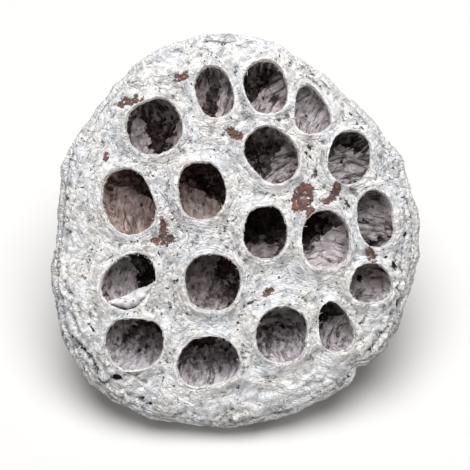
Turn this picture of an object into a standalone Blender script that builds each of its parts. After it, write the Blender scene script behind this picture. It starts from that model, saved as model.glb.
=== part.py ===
"""A dried and whitewashed lotus pod: a seed head cut with a short stub of its stem.

The pod grew as one piece, so it is one solid. Its face holds open seed pits with raised lips, its
rim rolls over into a ribbed funnel, and the funnel narrows to the cut stem. It lies on the side of
that funnel and on the end of the stem, so its face leans towards -Y.

Lengths are in millimetres in the pod's own frame, where the face is level: +X is right and +Y is
uphill as one looks at the face, +Z points out of it, and the stem runs down -Z. MM turns them into
metres, and the object's rotation and location lay the pod down.
"""

import math
from collections import namedtuple

import bmesh
import bpy
import numpy as np
from mathutils import Matrix, Vector
from mathutils.geometry import delaunay_2d_cdt

MM = 0.001
TURN = 2 * math.pi

# Outline of the pod: its radius at sixteen even bearings, anticlockwise from +X.
OUTLINE_RADII = (
    40.3, 39.3, 37.9, 39.8, 42.4, 41.8, 39.6, 39.4,
    38.2, 41.6, 45.2, 44.8, 43.3, 42.4, 42.4, 41.2,
)
SCALLOP = 0.45
SCALLOP_COUNTS = (9, 13, 19)
NOTCH_BEARING = math.radians(312)
NOTCH_DEPTH = 1.9
NOTCH_HALF_WIDTH = 2.2

# The face between the pits.
CROWN = 2.4
SWELL = 0.7
SWELL_LENGTH = 22.0
LIP_HEIGHT = 1.1
LIP_REACH = 1.4
EDGE_DROP = 1.5
EDGE_START = 0.86

# Funnel, from the face's edge to the neck: (share of the outline's radius, depth below the face).
FUNNEL = (
    (0.965, 0.0), (0.993, 1.2), (1.0, 3.0), (0.985, 5.6), (0.94, 8.8), (0.87, 12.2),
    (0.775, 15.6), (0.66, 19.0), (0.525, 22.4), (0.385, 25.6), (0.26, 28.6), (0.165, 31.2),
)
BELLY_SWELL = 0.9
RIB_HEIGHT = 0.75
RIB_COUNTS = (13, 21, 34, 47)
RIB_SHARES = (0.24, 0.30, 0.28, 0.18)
RIB_WANDER = 1.3

# Stem stub: its rings as (radius, depth), down to the cut end.
STEM_OFFSET = (-1.2, 0.6)
STEM = ((5.3, 32.8), (4.6, 34.4), (4.35, 36.8), (4.45, 39.2))
STEM_OUT_OF_ROUND = 0.06

# The funnel's ribs fade where its belly rests, and it is pressed flat there by this much.
REST_BEARING = math.radians(270)
REST_HALF_ANGLE = math.radians(17)
REST_ALONG = 0.52
REST_HALF_LENGTH = 0.16
REST_PRESS = 0.7

# Seed pits: the mouth's centre, its two widths, the lean of the second one to the left in degrees,
# and how much the mouth narrows uphill.
Pit = namedtuple("Pit", "right up width height lean taper")
PITS = (
    Pit(-17.0, 22.0, 12.4, 12.2, 20, 0.00),
    Pit(-4.0, 29.5, 8.1, 11.7, 16, 0.00),
    Pit(7.2, 30.6, 9.4, 12.0, 14, 0.00),
    Pit(16.9, 25.8, 7.4, 11.0, 14, 0.34),
    Pit(25.4, 15.4, 9.4, 12.0, -8, 0.05),
    Pit(8.5, 15.9, 10.7, 13.2, 42, 0.00),
    Pit(-6.7, 8.1, 10.4, 13.0, 6, 0.00),
    Pit(-22.7, 5.7, 11.4, 14.8, 20, 0.05),
    Pit(7.1, -0.9, 9.6, 11.8, 0, 0.05),
    Pit(20.2, -2.4, 10.8, 12.8, 4, 0.08),
    Pit(31.0, 2.0, 8.0, 13.0, 8, 0.00),
    Pit(-22.6, -11.6, 10.4, 13.6, -42, 0.05),
    Pit(-4.4, -11.8, 12.2, 12.8, 0, 0.00),
    Pit(30.0, -12.0, 9.2, 9.0, 0, 0.12),
    Pit(-21.4, -25.4, 13.0, 11.8, 0, -0.14),
    Pit(10.7, -23.2, 11.4, 12.6, -6, 0.04),
    Pit(22.2, -21.4, 7.4, 11.6, 14, 0.28),
    Pit(-5.4, -29.0, 13.8, 11.2, 12, 0.10),
)
MOUTH_SQUARENESS = 2.3
MOUTH_WOBBLE = 0.035
PIT_DEPTH = 14.5
RIM_PIT_DEPTH = 11.5
PIT_FOCUS = 85.0
PIT_WALL = ((0.05, 0.955), (0.22, 1.01), (0.48, 1.03), (0.74, 0.90), (0.92, 0.55))

# How finely the solid is faceted.
RIM_STEPS = 144
MOUTH_STEPS = 20
LIP_FOOT = 1.5
FILL_SPACING = 3.3

WHITEWASH = (0.72, 0.71, 0.72, 1.0)
WHITEWASH_ROUGHNESS = 0.9


def smooth_step(share):
    share = np.clip(share, 0.0, 1.0)
    return share * share * (3.0 - 2.0 * share)


def spline(values, place, closed=False):
    """A smooth curve through values, which are one apart: place 0 is the first one."""
    values = np.asarray(values, float)
    count = len(values)
    first = np.floor(place).astype(int)
    if not closed:
        first = np.clip(first, 0, count - 2)
    part = np.asarray(place, float) - first
    near = [first + step for step in (-1, 0, 1, 2)]
    near = [index % count if closed else np.clip(index, 0, count - 1) for index in near]
    before, start, end, after = (values[index] for index in near)
    if values.ndim > 1:
        part = part[..., None]
    bend = 3.0 * (start - end) + after - before
    bend = 2.0 * before - 5.0 * start + 4.0 * end - after + part * bend
    return start + 0.5 * part * (end - before + part * bend)


def ripple(bearing, counts, seed):
    """Waves round the pod, one for each count, that add up to no more than 1."""
    phases = np.random.default_rng(seed).uniform(0, TURN, len(counts))
    waves = [np.cos(count * bearing + phase) for count, phase in zip(counts, phases)]
    return sum(waves) / len(counts)


def swell(x, y, length, seed, waves=6):
    """Gentle hills and hollows of about that length, between -1 and 1."""
    rng = np.random.default_rng(seed)
    total = 0.0
    for _ in range(waves):
        way, phase = rng.uniform(0, TURN, 2)
        turns = TURN / (length * rng.uniform(0.7, 1.4))
        total = total + np.cos(turns * (x * math.cos(way) + y * math.sin(way)) + phase)
    return total / waves


def outline_radius(bearing):
    smooth = spline(OUTLINE_RADII, bearing / TURN * len(OUTLINE_RADII), closed=True)
    off_notch = (bearing - NOTCH_BEARING + math.pi) % TURN - math.pi
    notch = np.exp(-((off_notch * smooth / NOTCH_HALF_WIDTH) ** 2))
    return smooth + SCALLOP * ripple(bearing, SCALLOP_COUNTS, seed=3) - NOTCH_DEPTH * notch


def mouth_frame(pit, x, y):
    """A point in the mouth's own widths: (0, 0) is its centre, and its edge is about 1 away."""
    lean = math.radians(pit.lean)
    across = (x - pit.right) * math.cos(lean) + (y - pit.up) * math.sin(lean)
    along = (y - pit.up) * math.cos(lean) - (x - pit.right) * math.sin(lean)
    v = along / (pit.height / 2)
    return across / (pit.width / 2 * (1.0 - pit.taper * np.clip(v, -1.5, 1.5))), v


def mouth_wobble(pit, angle):
    return 1.0 + MOUTH_WOBBLE * ripple(angle, (2, 3, 5), seed=100 + PITS.index(pit))


def mouth_gap(pit, x, y):
    """How far a point lies outside the pit's mouth. It is negative inside."""
    u, v = mouth_frame(pit, x, y)
    size = (np.abs(u) ** MOUTH_SQUARENESS + np.abs(v) ** MOUTH_SQUARENESS) ** (1 / MOUTH_SQUARENESS)
    size = np.maximum(size / mouth_wobble(pit, np.arctan2(v, u)), 1e-6)
    return (1.0 - 1.0 / size) * np.hypot(x - pit.right, y - pit.up)


def mouth_offsets(pit, angle):
    """The mouth's edge at these angles, as x and y from its centre."""
    u, v = np.cos(angle), np.sin(angle)
    size = (np.abs(u) ** MOUTH_SQUARENESS + np.abs(v) ** MOUTH_SQUARENESS) ** (1 / MOUTH_SQUARENESS)
    u, v = u / size * mouth_wobble(pit, angle), v / size * mouth_wobble(pit, angle)
    across = u * pit.width / 2 * (1.0 - pit.taper * v)
    along = v * pit.height / 2
    lean = math.radians(pit.lean)
    return (
        across * math.cos(lean) - along * math.sin(lean),
        across * math.sin(lean) + along * math.cos(lean),
    )


def face_height(x, y):
    share = np.hypot(x, y) / outline_radius(np.arctan2(y, x))
    gap = np.min([mouth_gap(pit, x, y) for pit in PITS], axis=0)
    lip = LIP_HEIGHT * np.exp(-((np.maximum(gap, 0.0) / LIP_REACH) ** 2))
    edge = smooth_step((share - EDGE_START) / (1.0 - EDGE_START))
    crown = CROWN * (1.0 - share**2)
    return crown + SWELL * swell(x, y, SWELL_LENGTH, seed=11) + lip - EDGE_DROP * edge


def rib(bearing, along):
    """The funnel's uneven ribs, between -1 and 1. The finer ones fade towards the neck."""
    rng = np.random.default_rng(21)
    total = 0.0
    for count, share in zip(RIB_COUNTS, RIB_SHARES):
        wander = RIB_WANDER * ripple(bearing + 0.3 * along, (2, 5, 7), seed=count)
        ridge = 1.0 - 2.0 * np.abs(np.sin(0.5 * (count * bearing + wander + rng.uniform(0, TURN))))
        room = smooth_step((1.1 - along) * RIB_COUNTS[0] / count / 0.12)
        total = total + share * room * ridge
    return total


def rest_patch(bearing, along):
    """1 on the patch of belly that the pod lies on, and 0 away from it."""
    off = (bearing - REST_BEARING + math.pi) % TURN - math.pi
    away = np.hypot(off / REST_HALF_ANGLE, (along - REST_ALONG) / REST_HALF_LENGTH)
    return 1.0 - smooth_step(2.0 * away - 1.0)


def stem_shift(depth):
    share = smooth_step(depth / STEM[0][1])
    return STEM_OFFSET[0] * share, STEM_OFFSET[1] * share


def funnel_point(bearing, along):
    """A point of the funnel's skin. along runs from 0 at the face's edge to 1 at the neck."""
    last = len(FUNNEL) - 1
    share, depth = np.moveaxis(spline(FUNNEL, along * last), -1, 0)
    ahead = spline(FUNNEL, np.minimum(along * last + 0.05, last))
    behind = spline(FUNNEL, np.maximum(along * last - 0.05, 0.0))
    radius = outline_radius(bearing)
    run = (ahead - behind) * np.stack([radius, np.ones_like(radius)], axis=-1)
    length = np.hypot(run[..., 0], run[..., 1])
    belly = BELLY_SWELL * ripple(bearing, (2, 3, 4), seed=31) * np.sin(math.pi * along)
    ribs = RIB_HEIGHT * rib(bearing, along) * smooth_step(along / 0.25) * smooth_step((1.25 - along) / 0.5)
    out = (belly + ribs) * (1.0 - rest_patch(bearing, along))
    radius = share * radius + out * run[..., 1] / length
    edge_x = FUNNEL[0][0] * outline_radius(bearing) * np.cos(bearing)
    edge_y = FUNNEL[0][0] * outline_radius(bearing) * np.sin(bearing)
    edge = face_height(edge_x, edge_y) * (1.0 - smooth_step(along / 0.45))
    x, y = stem_shift(depth)
    height = edge - depth + out * run[..., 0] / length
    return np.stack([x + radius * np.cos(bearing), y + radius * np.sin(bearing), height], axis=-1)


def stem_point(bearing, radius, depth):
    x, y = stem_shift(depth)
    radius = radius * (1.0 + STEM_OUT_OF_ROUND * ripple(bearing, (2, 3), seed=41))
    height = np.full_like(bearing, -depth)
    return np.stack([x + radius * np.cos(bearing), y + radius * np.sin(bearing), height], axis=-1)


def pit_depth(pit):
    share = math.hypot(pit.right, pit.up) / max(OUTLINE_RADII)
    return PIT_DEPTH + (RIM_PIT_DEPTH - PIT_DEPTH) * float(smooth_step(share / 0.75))


def pit_point(pit, angle, share, width):
    """The pit's wall at this share of its depth. Every pit points at one spot under the pod."""
    x, y = mouth_offsets(pit, angle)
    depth = share * pit_depth(pit)
    centre = 1.0 - depth / PIT_FOCUS
    mouth = face_height(pit.right + x, pit.up + y)
    level = (1.0 - share) * mouth + share * np.mean(mouth)
    return np.stack([pit.right * centre + width * x, pit.up * centre + width * y, level - depth], axis=-1)


def resting_tilt():
    """The face's slope when the belly and the end of the stem both touch the ground."""
    along = np.linspace(0.2, 1.0, 200)
    belly = funnel_point(np.full_like(along, REST_BEARING), along)
    stem = stem_point(np.array([REST_BEARING]), *STEM[-1])[0]
    slopes = (belly[:, 2] - stem[2]) / (stem[1] - belly[:, 1])
    return math.atan(float(np.min(slopes)))


def lay_down(bm):
    """The matrix that lays the pod on the ground, with the middle of its box over the origin."""
    turn = Matrix.Rotation(resting_tilt(), 4, "X")
    turned = np.array([turn @ vert.co for vert in bm.verts])
    low, high = turned.min(axis=0), turned.max(axis=0)
    middle = (low + high) / 2
    return Matrix.Translation((-middle[0], -middle[1], -low[2] - REST_PRESS * MM)) @ turn


def funnel_rings():
    return [step / (len(FUNNEL) - 1) for step in range(len(FUNNEL))]


def fill_points(taken):
    """Points on a staggered grid over the face, clear of those already taken."""
    points = []
    reach = max(OUTLINE_RADII)
    for row in range(-30, 31):
        for column in range(-30, 31):
            x = (column + 0.5 * (row % 2)) * FILL_SPACING
            y = row * FILL_SPACING * math.sqrt(3) / 2
            if math.hypot(x, y) < reach:
                points.append((x, y))
    points = np.array(points)
    bearing = np.arctan2(points[:, 1], points[:, 0])
    inside = np.hypot(points[:, 0], points[:, 1]) < FUNNEL[0][0] * outline_radius(bearing) - 0.4 * FILL_SPACING
    gap = np.min([mouth_gap(pit, points[:, 0], points[:, 1]) for pit in PITS], axis=0)
    points = points[inside & (gap > 0.7 * LIP_FOOT)]
    clear = [np.min(np.hypot(*(taken - point).T)) > 0.5 * FILL_SPACING for point in points]
    return points[clear]


def lip_foot_points(rings):
    """Points round the foot of each lip, where they keep clear of the next pit and of the rim."""
    kept = []
    for pit, ring in zip(PITS, rings):
        centre = np.array([pit.right, pit.up])
        out = ring - centre
        foot = ring + out / np.hypot(*out.T)[:, None] * LIP_FOOT
        others = [mouth_gap(other, *foot.T) for other in PITS if other is not pit]
        bearing = np.arctan2(foot[:, 1], foot[:, 0])
        room = FUNNEL[0][0] * outline_radius(bearing) - np.hypot(*foot.T)
        clear = (np.min(others, axis=0) > 0.75 * LIP_FOOT) & (room > 0.8)
        for point in foot[clear]:
            if not kept or np.min(np.hypot(*(np.array(kept) - point).T)) > 0.8:
                kept.append(point)
    return np.array(kept)


def loop_edges(start, count):
    return [(start + step, start + (step + 1) % count) for step in range(count)]


def join_rings(bm, upper, lower):
    for step in range(len(upper)):
        after = (step + 1) % len(upper)
        bm.faces.new((upper[step], upper[after], lower[after], lower[step]))


def add_ring(bm, points):
    return [bm.verts.new(point * MM) for point in points]


def add_face(bm):
    """The face with a hole for each pit. Returns its outer ring and the ring of each mouth."""
    bearing = np.arange(RIM_STEPS) * TURN / RIM_STEPS
    edge = FUNNEL[0][0] * outline_radius(bearing)
    outer = np.stack([edge * np.cos(bearing), edge * np.sin(bearing)], axis=-1)
    angle = np.arange(MOUTH_STEPS) * TURN / MOUTH_STEPS
    mouths = [np.stack(mouth_offsets(pit, angle), axis=-1) + (pit.right, pit.up) for pit in PITS]
    loops = [outer, *mouths]
    feet = lip_foot_points(mouths)
    taken = np.concatenate([*loops, feet])
    flat = np.concatenate([taken, fill_points(taken)])
    edges = []
    start = 0
    for loop in loops:
        edges += loop_edges(start, len(loop))
        start += len(loop)
    inside_the_loops = 1
    found = delaunay_2d_cdt([Vector(p) for p in flat], edges, [], inside_the_loops, 1e-5)
    corners, faces, came_from = np.array(found[0]), np.array(found[2]), found[3]
    middles = corners[faces].mean(axis=1)
    gap = np.min([mouth_gap(pit, *middles.T) for pit in PITS], axis=0)
    heights = face_height(*corners.T)
    verts = [bm.verts.new((x * MM, y * MM, z * MM)) for (x, y), z in zip(corners, heights)]
    for face in faces[gap > 0]:
        bm.faces.new([verts[index] for index in face])
    vert_of = {old: verts[new] for new, olds in enumerate(came_from) for old in olds}
    rings = []
    start = 0
    for loop in loops:
        rings.append([vert_of[start + step] for step in range(len(loop))])
        start += len(loop)
    return rings[0], rings[1:]


def add_pit(bm, pit, mouth):
    angle = np.arange(MOUTH_STEPS) * TURN / MOUTH_STEPS
    ring = mouth
    for share, width in PIT_WALL:
        lower = add_ring(bm, pit_point(pit, angle, share, width))
        join_rings(bm, ring, lower)
        ring = lower
    floor = bm.verts.new(np.mean(pit_point(pit, angle, 1.0, 0.0), axis=0) * MM)
    for step in range(MOUTH_STEPS):
        bm.faces.new((ring[step], ring[(step + 1) % MOUTH_STEPS], floor))


def add_funnel(bm, edge):
    bearing = np.arange(RIM_STEPS) * TURN / RIM_STEPS
    ring = edge
    for along in funnel_rings()[1:]:
        lower = add_ring(bm, funnel_point(bearing, np.full(RIM_STEPS, along)))
        join_rings(bm, ring, lower)
        ring = lower
    return ring


def add_stem(bm, neck):
    """The stub has a quarter of the funnel's sides, so its first ring takes four of them each."""
    sides = RIM_STEPS // 4
    bearing = np.arange(sides) * TURN / sides
    ring = add_ring(bm, stem_point(bearing, *STEM[0]))
    for side in range(sides):
        after = (side + 1) % sides
        above = [neck[(4 * side + step) % RIM_STEPS] for step in range(5)]
        for step in range(4):
            bm.faces.new((above[step], above[step + 1], ring[side if step < 2 else after]))
        bm.faces.new((ring[side], above[2], ring[after]))
    for radius, depth in STEM[1:]:
        lower = add_ring(bm, stem_point(bearing, radius, depth))
        join_rings(bm, ring, lower)
        ring = lower
    bm.faces.new(ring)


def press_flat(bm, laid):
    """Cuts off what would reach below the ground, which leaves small flat places to rest on."""
    ground = laid.inverted() @ Vector((0, 0, 0))
    down = (laid.inverted().to_3x3() @ Vector((0, 0, -1))).normalized()
    everything = bm.verts[:] + bm.edges[:] + bm.faces[:]
    cut = bmesh.ops.bisect_plane(
        bm, geom=everything, dist=1e-7, plane_co=ground, plane_no=down, clear_outer=True
    )
    edges = [item for item in cut["geom_cut"] if isinstance(item, bmesh.types.BMEdge)]
    bmesh.ops.holes_fill(bm, edges=edges, sides=0)


def whitewash_material():
    material = bpy.data.materials.new("whitewashed_husk")
    material.use_nodes = True
    shader = material.node_tree.nodes["Principled BSDF"]
    shader.inputs["Base Color"].default_value = WHITEWASH
    shader.inputs["Roughness"].default_value = WHITEWASH_ROUGHNESS
    shader.inputs["Metallic"].default_value = 0.0
    material.diffuse_color = WHITEWASH
    return material


def make_pod():
    bm = bmesh.new()
    edge, mouths = add_face(bm)
    for pit, mouth in zip(PITS, mouths):
        add_pit(bm, pit, mouth)
    add_stem(bm, add_funnel(bm, edge))
    bmesh.ops.recalc_face_normals(bm, faces=bm.faces)
    laid = lay_down(bm)
    press_flat(bm, laid)
    bmesh.ops.triangulate(bm, faces=bm.faces)
    bmesh.ops.recalc_face_normals(bm, faces=bm.faces)
    mesh = bpy.data.meshes.new("lotus_pod")
    bm.to_mesh(mesh)
    bm.free()
    mesh.shade_smooth()
    mesh.set_sharp_from_angle(angle=math.radians(40))
    mesh.materials.append(whitewash_material())
    pod = bpy.data.objects.new("lotus_pod", mesh)
    bpy.context.scene.collection.objects.link(pod)
    pod.rotation_euler = laid.to_euler()
    pod.location = laid.translation


def main():
    for obj in list(bpy.data.objects):
        bpy.data.objects.remove(obj)
    make_pod()


main()
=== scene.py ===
"""Looks of the dried, whitewashed lotus pod: its wrinkled husk, pits, films, flakes and cut stem.

Shapes are worked out in millimetres in the pod's own frame, where the face is level, and are then
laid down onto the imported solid. Everything after that is in metres in the frame's own axes.
"""

import functools
import math
from collections import namedtuple

import bmesh
import bpy
import numpy as np
from bpy.props import FloatProperty, FloatVectorProperty, PointerProperty
from mathutils import Matrix, Vector
from mathutils.geometry import delaunay_2d_cdt


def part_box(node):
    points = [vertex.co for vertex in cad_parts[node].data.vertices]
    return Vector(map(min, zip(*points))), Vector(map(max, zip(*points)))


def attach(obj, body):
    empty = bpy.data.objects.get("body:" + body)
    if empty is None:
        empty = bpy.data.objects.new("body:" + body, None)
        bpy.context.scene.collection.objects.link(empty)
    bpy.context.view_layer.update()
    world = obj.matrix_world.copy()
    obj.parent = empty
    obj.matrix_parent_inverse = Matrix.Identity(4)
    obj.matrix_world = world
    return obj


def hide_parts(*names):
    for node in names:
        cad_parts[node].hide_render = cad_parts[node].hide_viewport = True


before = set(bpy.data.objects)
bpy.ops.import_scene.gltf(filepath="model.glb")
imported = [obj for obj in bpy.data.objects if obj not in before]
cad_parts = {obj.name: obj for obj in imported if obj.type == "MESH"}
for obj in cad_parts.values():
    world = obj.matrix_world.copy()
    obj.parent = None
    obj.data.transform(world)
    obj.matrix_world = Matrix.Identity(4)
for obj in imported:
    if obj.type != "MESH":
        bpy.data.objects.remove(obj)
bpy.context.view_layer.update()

bl_info = {
    "name": "Dried lotus pod",
    "version": (1, 0, 0),
    "blender": (4, 5, 0),
    "location": "View3D > Sidebar > Lotus pod",
    "description": "Dresses the solid of a dried lotus pod with its whitewashed, wrinkled husk",
    "category": "Add Mesh",
}

NODE = "lotus_pod"
MM = 0.001
TURN = 2 * math.pi

# Outline of the pod: its radius at sixteen even bearings, anticlockwise from +X.
OUTLINE_RADII = (
    40.3, 39.3, 37.9, 39.8, 42.4, 41.8, 39.6, 39.4,
    38.2, 41.6, 45.2, 44.8, 43.3, 42.4, 42.4, 41.2,
)
SCALLOP = 0.45
SCALLOP_COUNTS = (9, 13, 19)
NOTCH_BEARING = math.radians(312)
NOTCH_DEPTH = 1.9
NOTCH_HALF_WIDTH = 2.2

# The face between the pits.
CROWN = 2.4
SWELL = 0.7
SWELL_LENGTH = 22.0
LIP_HEIGHT = 1.15
LIP_REACH = 1.05
LIP_UNEVEN = 0.45
LIP_LENGTH = 6.0
EDGE_DROP = 1.5
EDGE_START = 0.86

# Funnel, from the face's edge to the neck: (share of the outline's radius, depth below the face).
FUNNEL = (
    (0.965, 0.0), (0.993, 1.2), (1.0, 3.0), (0.985, 5.6), (0.94, 8.8), (0.87, 12.2),
    (0.775, 15.6), (0.66, 19.0), (0.525, 22.4), (0.385, 25.6), (0.26, 28.6), (0.165, 31.2),
)
BELLY_SWELL = 0.9
RIB_HEIGHT = 0.75
RIB_COUNTS = (13, 21, 34, 47)
RIB_SHARES = (0.24, 0.30, 0.28, 0.18)
RIB_WANDER = 1.3

# Stem stub: its rings as (radius, depth), down to the cut end.
STEM_OFFSET = (-1.2, 0.6)
STEM = ((5.3, 32.8), (4.6, 34.4), (4.35, 36.8), (4.45, 39.2))
STEM_OUT_OF_ROUND = 0.06

# The funnel's ribs fade where its belly rests.
REST_BEARING = math.radians(270)
REST_HALF_ANGLE = math.radians(17)
REST_ALONG = 0.52
REST_HALF_LENGTH = 0.16

# Seed pits: the mouth's centre, its two widths, the lean of the second one to the left in degrees,
# and how much the mouth narrows uphill.
Pit = namedtuple("Pit", "right up width height lean taper")
PITS = (
    Pit(-17.0, 22.0, 12.4, 12.2, 20, 0.00),
    Pit(-4.0, 29.5, 8.1, 11.7, 16, 0.00),
    Pit(7.2, 30.6, 9.4, 12.0, 14, 0.00),
    Pit(16.9, 25.8, 7.4, 11.0, 14, 0.34),
    Pit(25.4, 15.4, 9.4, 12.0, -8, 0.05),
    Pit(8.5, 15.9, 10.7, 13.2, 42, 0.00),
    Pit(-6.7, 8.1, 10.4, 13.0, 6, 0.00),
    Pit(-22.7, 5.7, 11.4, 14.8, 20, 0.05),
    Pit(7.1, -0.9, 9.6, 11.8, 0, 0.05),
    Pit(20.2, -2.4, 10.8, 12.8, 4, 0.08),
    Pit(31.0, 2.0, 8.0, 13.0, 8, 0.00),
    Pit(-22.6, -11.6, 10.4, 13.6, -42, 0.05),
    Pit(-4.4, -11.8, 12.2, 12.8, 0, 0.00),
    Pit(30.0, -12.0, 9.2, 9.0, 0, 0.12),
    Pit(-21.4, -25.4, 13.0, 11.8, 0, -0.14),
    Pit(10.7, -23.2, 11.4, 12.6, -6, 0.04),
    Pit(22.2, -21.4, 7.4, 11.6, 14, 0.28),
    Pit(-5.4, -29.0, 13.8, 11.2, 12, 0.10),
)
MOUTH_SQUARENESS = 2.3
MOUTH_WOBBLE = 0.035
MOUTH_RAGGED = 0.024
PIT_DEPTH = 14.5
RIM_PIT_DEPTH = 11.5
PIT_FOCUS = 85.0
PIT_WALL = ((0.0, 1.0), (0.05, 0.955), (0.22, 1.01), (0.48, 1.03), (0.74, 0.90), (0.92, 0.55), (1.0, 0.02))

# What is left of the skin in each pit: how much there is on its palest side, that side's bearing in degrees,
# how far the pale part goes down as a share of the depth, how red the bare wall is, and how warm the skin.
# The swing from the palest side round to the far one stands partly for the skin that is left and partly for
# painted light: lit lower walls paler, shaded upper walls darker.
PALE_AND_PAINTED_LIGHT_SWING = 0.50
PALE_FADE = 0.35
Lining = namedtuple("Lining", "pale bearing reach red warm")
LININGS = (
    Lining(0.86, 350, 0.92, 0.15, 0.25),
    Lining(1.00, 330, 1.20, 0.30, 0.20),
    Lining(0.98, 290, 1.30, 0.30, 0.25),
    Lining(1.20, 280, 1.40, 0.10, 0.05),
    Lining(1.06, 262, 1.30, 0.15, 0.10),
    Lining(0.92, 325, 1.10, 0.25, 0.20),
    Lining(0.80, 250, 1.20, 0.80, 0.60),
    Lining(0.98, 240, 1.40, 0.50, 0.85),
    Lining(0.60, 275, 0.90, 0.15, 0.20),
    Lining(0.96, 312, 0.85, 0.95, 0.10),
    Lining(1.06, 95, 1.30, 0.20, 0.10),
    Lining(0.84, 200, 0.95, 0.10, 0.05),
    Lining(0.78, 230, 1.30, 0.50, 0.25),
    Lining(1.00, 270, 1.40, 0.15, 0.10),
    Lining(1.06, 268, 0.72, 0.15, 0.05),
    Lining(1.04, 285, 0.85, 0.10, 0.05),
    Lining(0.98, 305, 0.90, 0.10, 0.10),
    Lining(1.12, 272, 0.72, 0.20, 0.05),
)

# Papery skin in a pit: the pit's number, the bearing of the side it hangs on, how far it reaches across
# from there in the mouth's own widths, the share of the depth at the wall and in the middle, how pale it
# is, how much of it is dark bands, and the bearing that its fibres run along.
Film = namedtuple("Film", "number bearing reach wall middle pale bands way")
FILMS = (
    Film(1, 195, -0.42, 0.50, 0.72, 0.25, 0.30, 100),
    Film(1, 348, -0.42, 0.42, 0.64, 0.55, 0.15, 80),
    Film(2, 352, -0.06, 0.34, 0.52, 0.70, 0.55, 75),
    Film(2, 160, -0.45, 0.46, 0.62, 0.25, 0.50, 80),
    Film(3, 318, 0.25, 0.38, 0.54, 0.45, 0.60, 50),
    Film(4, 270, 1.30, 0.30, 0.40, 0.60, 0.40, 60),
    Film(5, 255, 0.55, 0.36, 0.50, 0.50, 0.75, 10),
    Film(6, 330, -0.10, 0.42, 0.62, 0.35, 0.70, 35),
    Film(7, 238, 0.05, 0.62, 0.78, 0.30, 0.15, 90),
    Film(8, 248, 0.40, 0.64, 0.80, 0.20, 0.15, 80),
    Film(9, 272, -0.45, 0.66, 0.84, 0.15, 0.45, 10),
    Film(10, 308, -0.02, 0.34, 0.58, 0.95, 0.45, 5),
    Film(11, 95, 0.75, 0.44, 0.56, 0.45, 0.60, 0),
    Film(12, 190, -0.06, 0.44, 0.68, 0.35, 0.00, 60),
    Film(13, 165, 0.00, 0.68, 0.82, 0.00, 0.30, 90),
    Film(14, 270, 1.30, 0.50, 0.58, 0.10, 0.35, 20),
    Film(15, 140, -0.40, 0.50, 0.70, 0.10, 0.45, 85),
    Film(16, 95, 0.10, 0.56, 0.74, 0.15, 0.50, 0),
    Film(17, 305, -0.12, 0.44, 0.64, 0.60, 0.60, 55),
)
FILM_THICKNESS = 0.16
FILM_STRETCH = 0.36
FILM_HOLE = 0.13
HOLED_FILM = 14

# The white flap of skin along the lower edge of one pit.
FOLD_PIT = 12
FOLD_FROM = math.radians(264)
FOLD_TO = math.radians(394)
FOLD_GAP = 0.06
FOLD_WIDTH = 0.54
FOLD_THICKNESS = 0.22

# Places where the limewash has chipped off: centre, two widths, lean in degrees.
Chip = namedtuple("Chip", "right up width height lean")
CHIPS = (
    Chip(15.2, 6.5, 4.2, 6.5, -18),
    Chip(16.8, 3.4, 2.0, 3.4, 20),
    Chip(-22.6, 27.4, 5.2, 1.6, 14),
    Chip(0.2, 20.5, 3.5, 2.0, -24),
    Chip(-11.0, 32.7, 3.0, 1.5, 10),
    Chip(22.3, 8.2, 1.8, 4.0, -20),
    Chip(20.6, 6.0, 2.8, 1.2, 10),
    Chip(-15.1, -2.4, 4.2, 2.0, 8),
    Chip(-15.0, 0.2, 1.2, 3.6, 4),
    Chip(-27.5, 15.7, 1.2, 1.8, 0),
    Chip(29.9, -5.8, 1.7, 2.8, 24),
    Chip(7.6, -13.9, 2.2, 1.3, 30),
)
# Holes and dark specks: centre, width, height, lean in degrees.
SPECKS = (
    Chip(-25.1, -32.3, 2.6, 1.3, -14),
    Chip(-36.0, 6.2, 1.0, 0.8, 0),
    Chip(-32.5, 24.2, 0.8, 0.8, 0),
    Chip(-1.9, 40.3, 1.5, 0.6, 10),
    Chip(37.6, -1.4, 0.7, 1.5, -16),
    Chip(35.2, -8.2, 0.9, 2.0, 12),
    Chip(-24.0, -36.8, 1.1, 0.6, -20),
    Chip(-19.8, -37.0, 0.8, 0.6, 0),
    Chip(-18.0, -38.2, 0.9, 0.7, 30),
    Chip(27.6, 22.2, 2.1, 0.45, -35),
    Chip(16.4, 15.7, 2.9, 0.45, -46),
    Chip(3.7, -16.2, 2.2, 0.4, 28),
    Chip(36.2, -16.6, 0.5, 2.2, 18),
    Chip(24.9, 5.2, 0.5, 2.6, 30),
    Chip(1.2, -20.6, 0.9, 0.7, 0),
    Chip(-30.6, -21.8, 0.6, 2.6, 38),
    Chip(-32.4, -26.4, 0.5, 2.8, 40),
    Chip(28.6, -33.0, 2.6, 0.8, 42),
)

# How finely the husk is meshed.
RIM_STEPS = 528
FUNNEL_STEPS = 60
NECK_HALVING = 0.72
MOUTH_STEPS = 76
PIT_STEPS = 20
STEM_STEPS = 14
LIP_GAPS = (0.25, 0.55, 0.90)
FILL_SPACING = 0.45
FILL_JITTER = 0.08

END_RECESS = 0.55

# Air channels in the cut stem.
CHANNELS = 7
CHANNEL_RING = 0.56
CHANNEL_RADIUS = 0.62

# How much the husk's fibres are drawn out on the face, in the pits and down the funnel.
FACE_STRETCH = 0.28
PIT_STRETCH = 0.20
FUNNEL_STRETCH = 0.16
FIBRE_RADIUS = 38.0
FUNNEL_LENGTH = 45.0

# The relief's heights, by the names in its tree and in the settings.
RELIEF = (
    "Web", "Valleys", "Crumple", "Wrinkles", "Ring wrinkles", "Margin folds", "Border groove", "Drape",
    "Crumbling", "Streaks", "Lining", "Grain", "Chip depth",
)

# The stage, in metres, and the point that the camera looks at, in the pod's millimetres.
FLOOR_HALF_WIDTH = 2.5
KEY_PLACE = (0.02, 0.07, 0.85)
KEY_WIDTH = 0.78
FILL_PLACE = (-0.12, -0.55, 0.72)
FILL_WIDTH = 0.45
LAMP_TARGET = (0.0, 0.0, 0.02)
SKY_COLOUR = (1.0, 0.94, 0.88)
VIEW_TARGET = (0.5, -1.5, 0.0)

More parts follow.
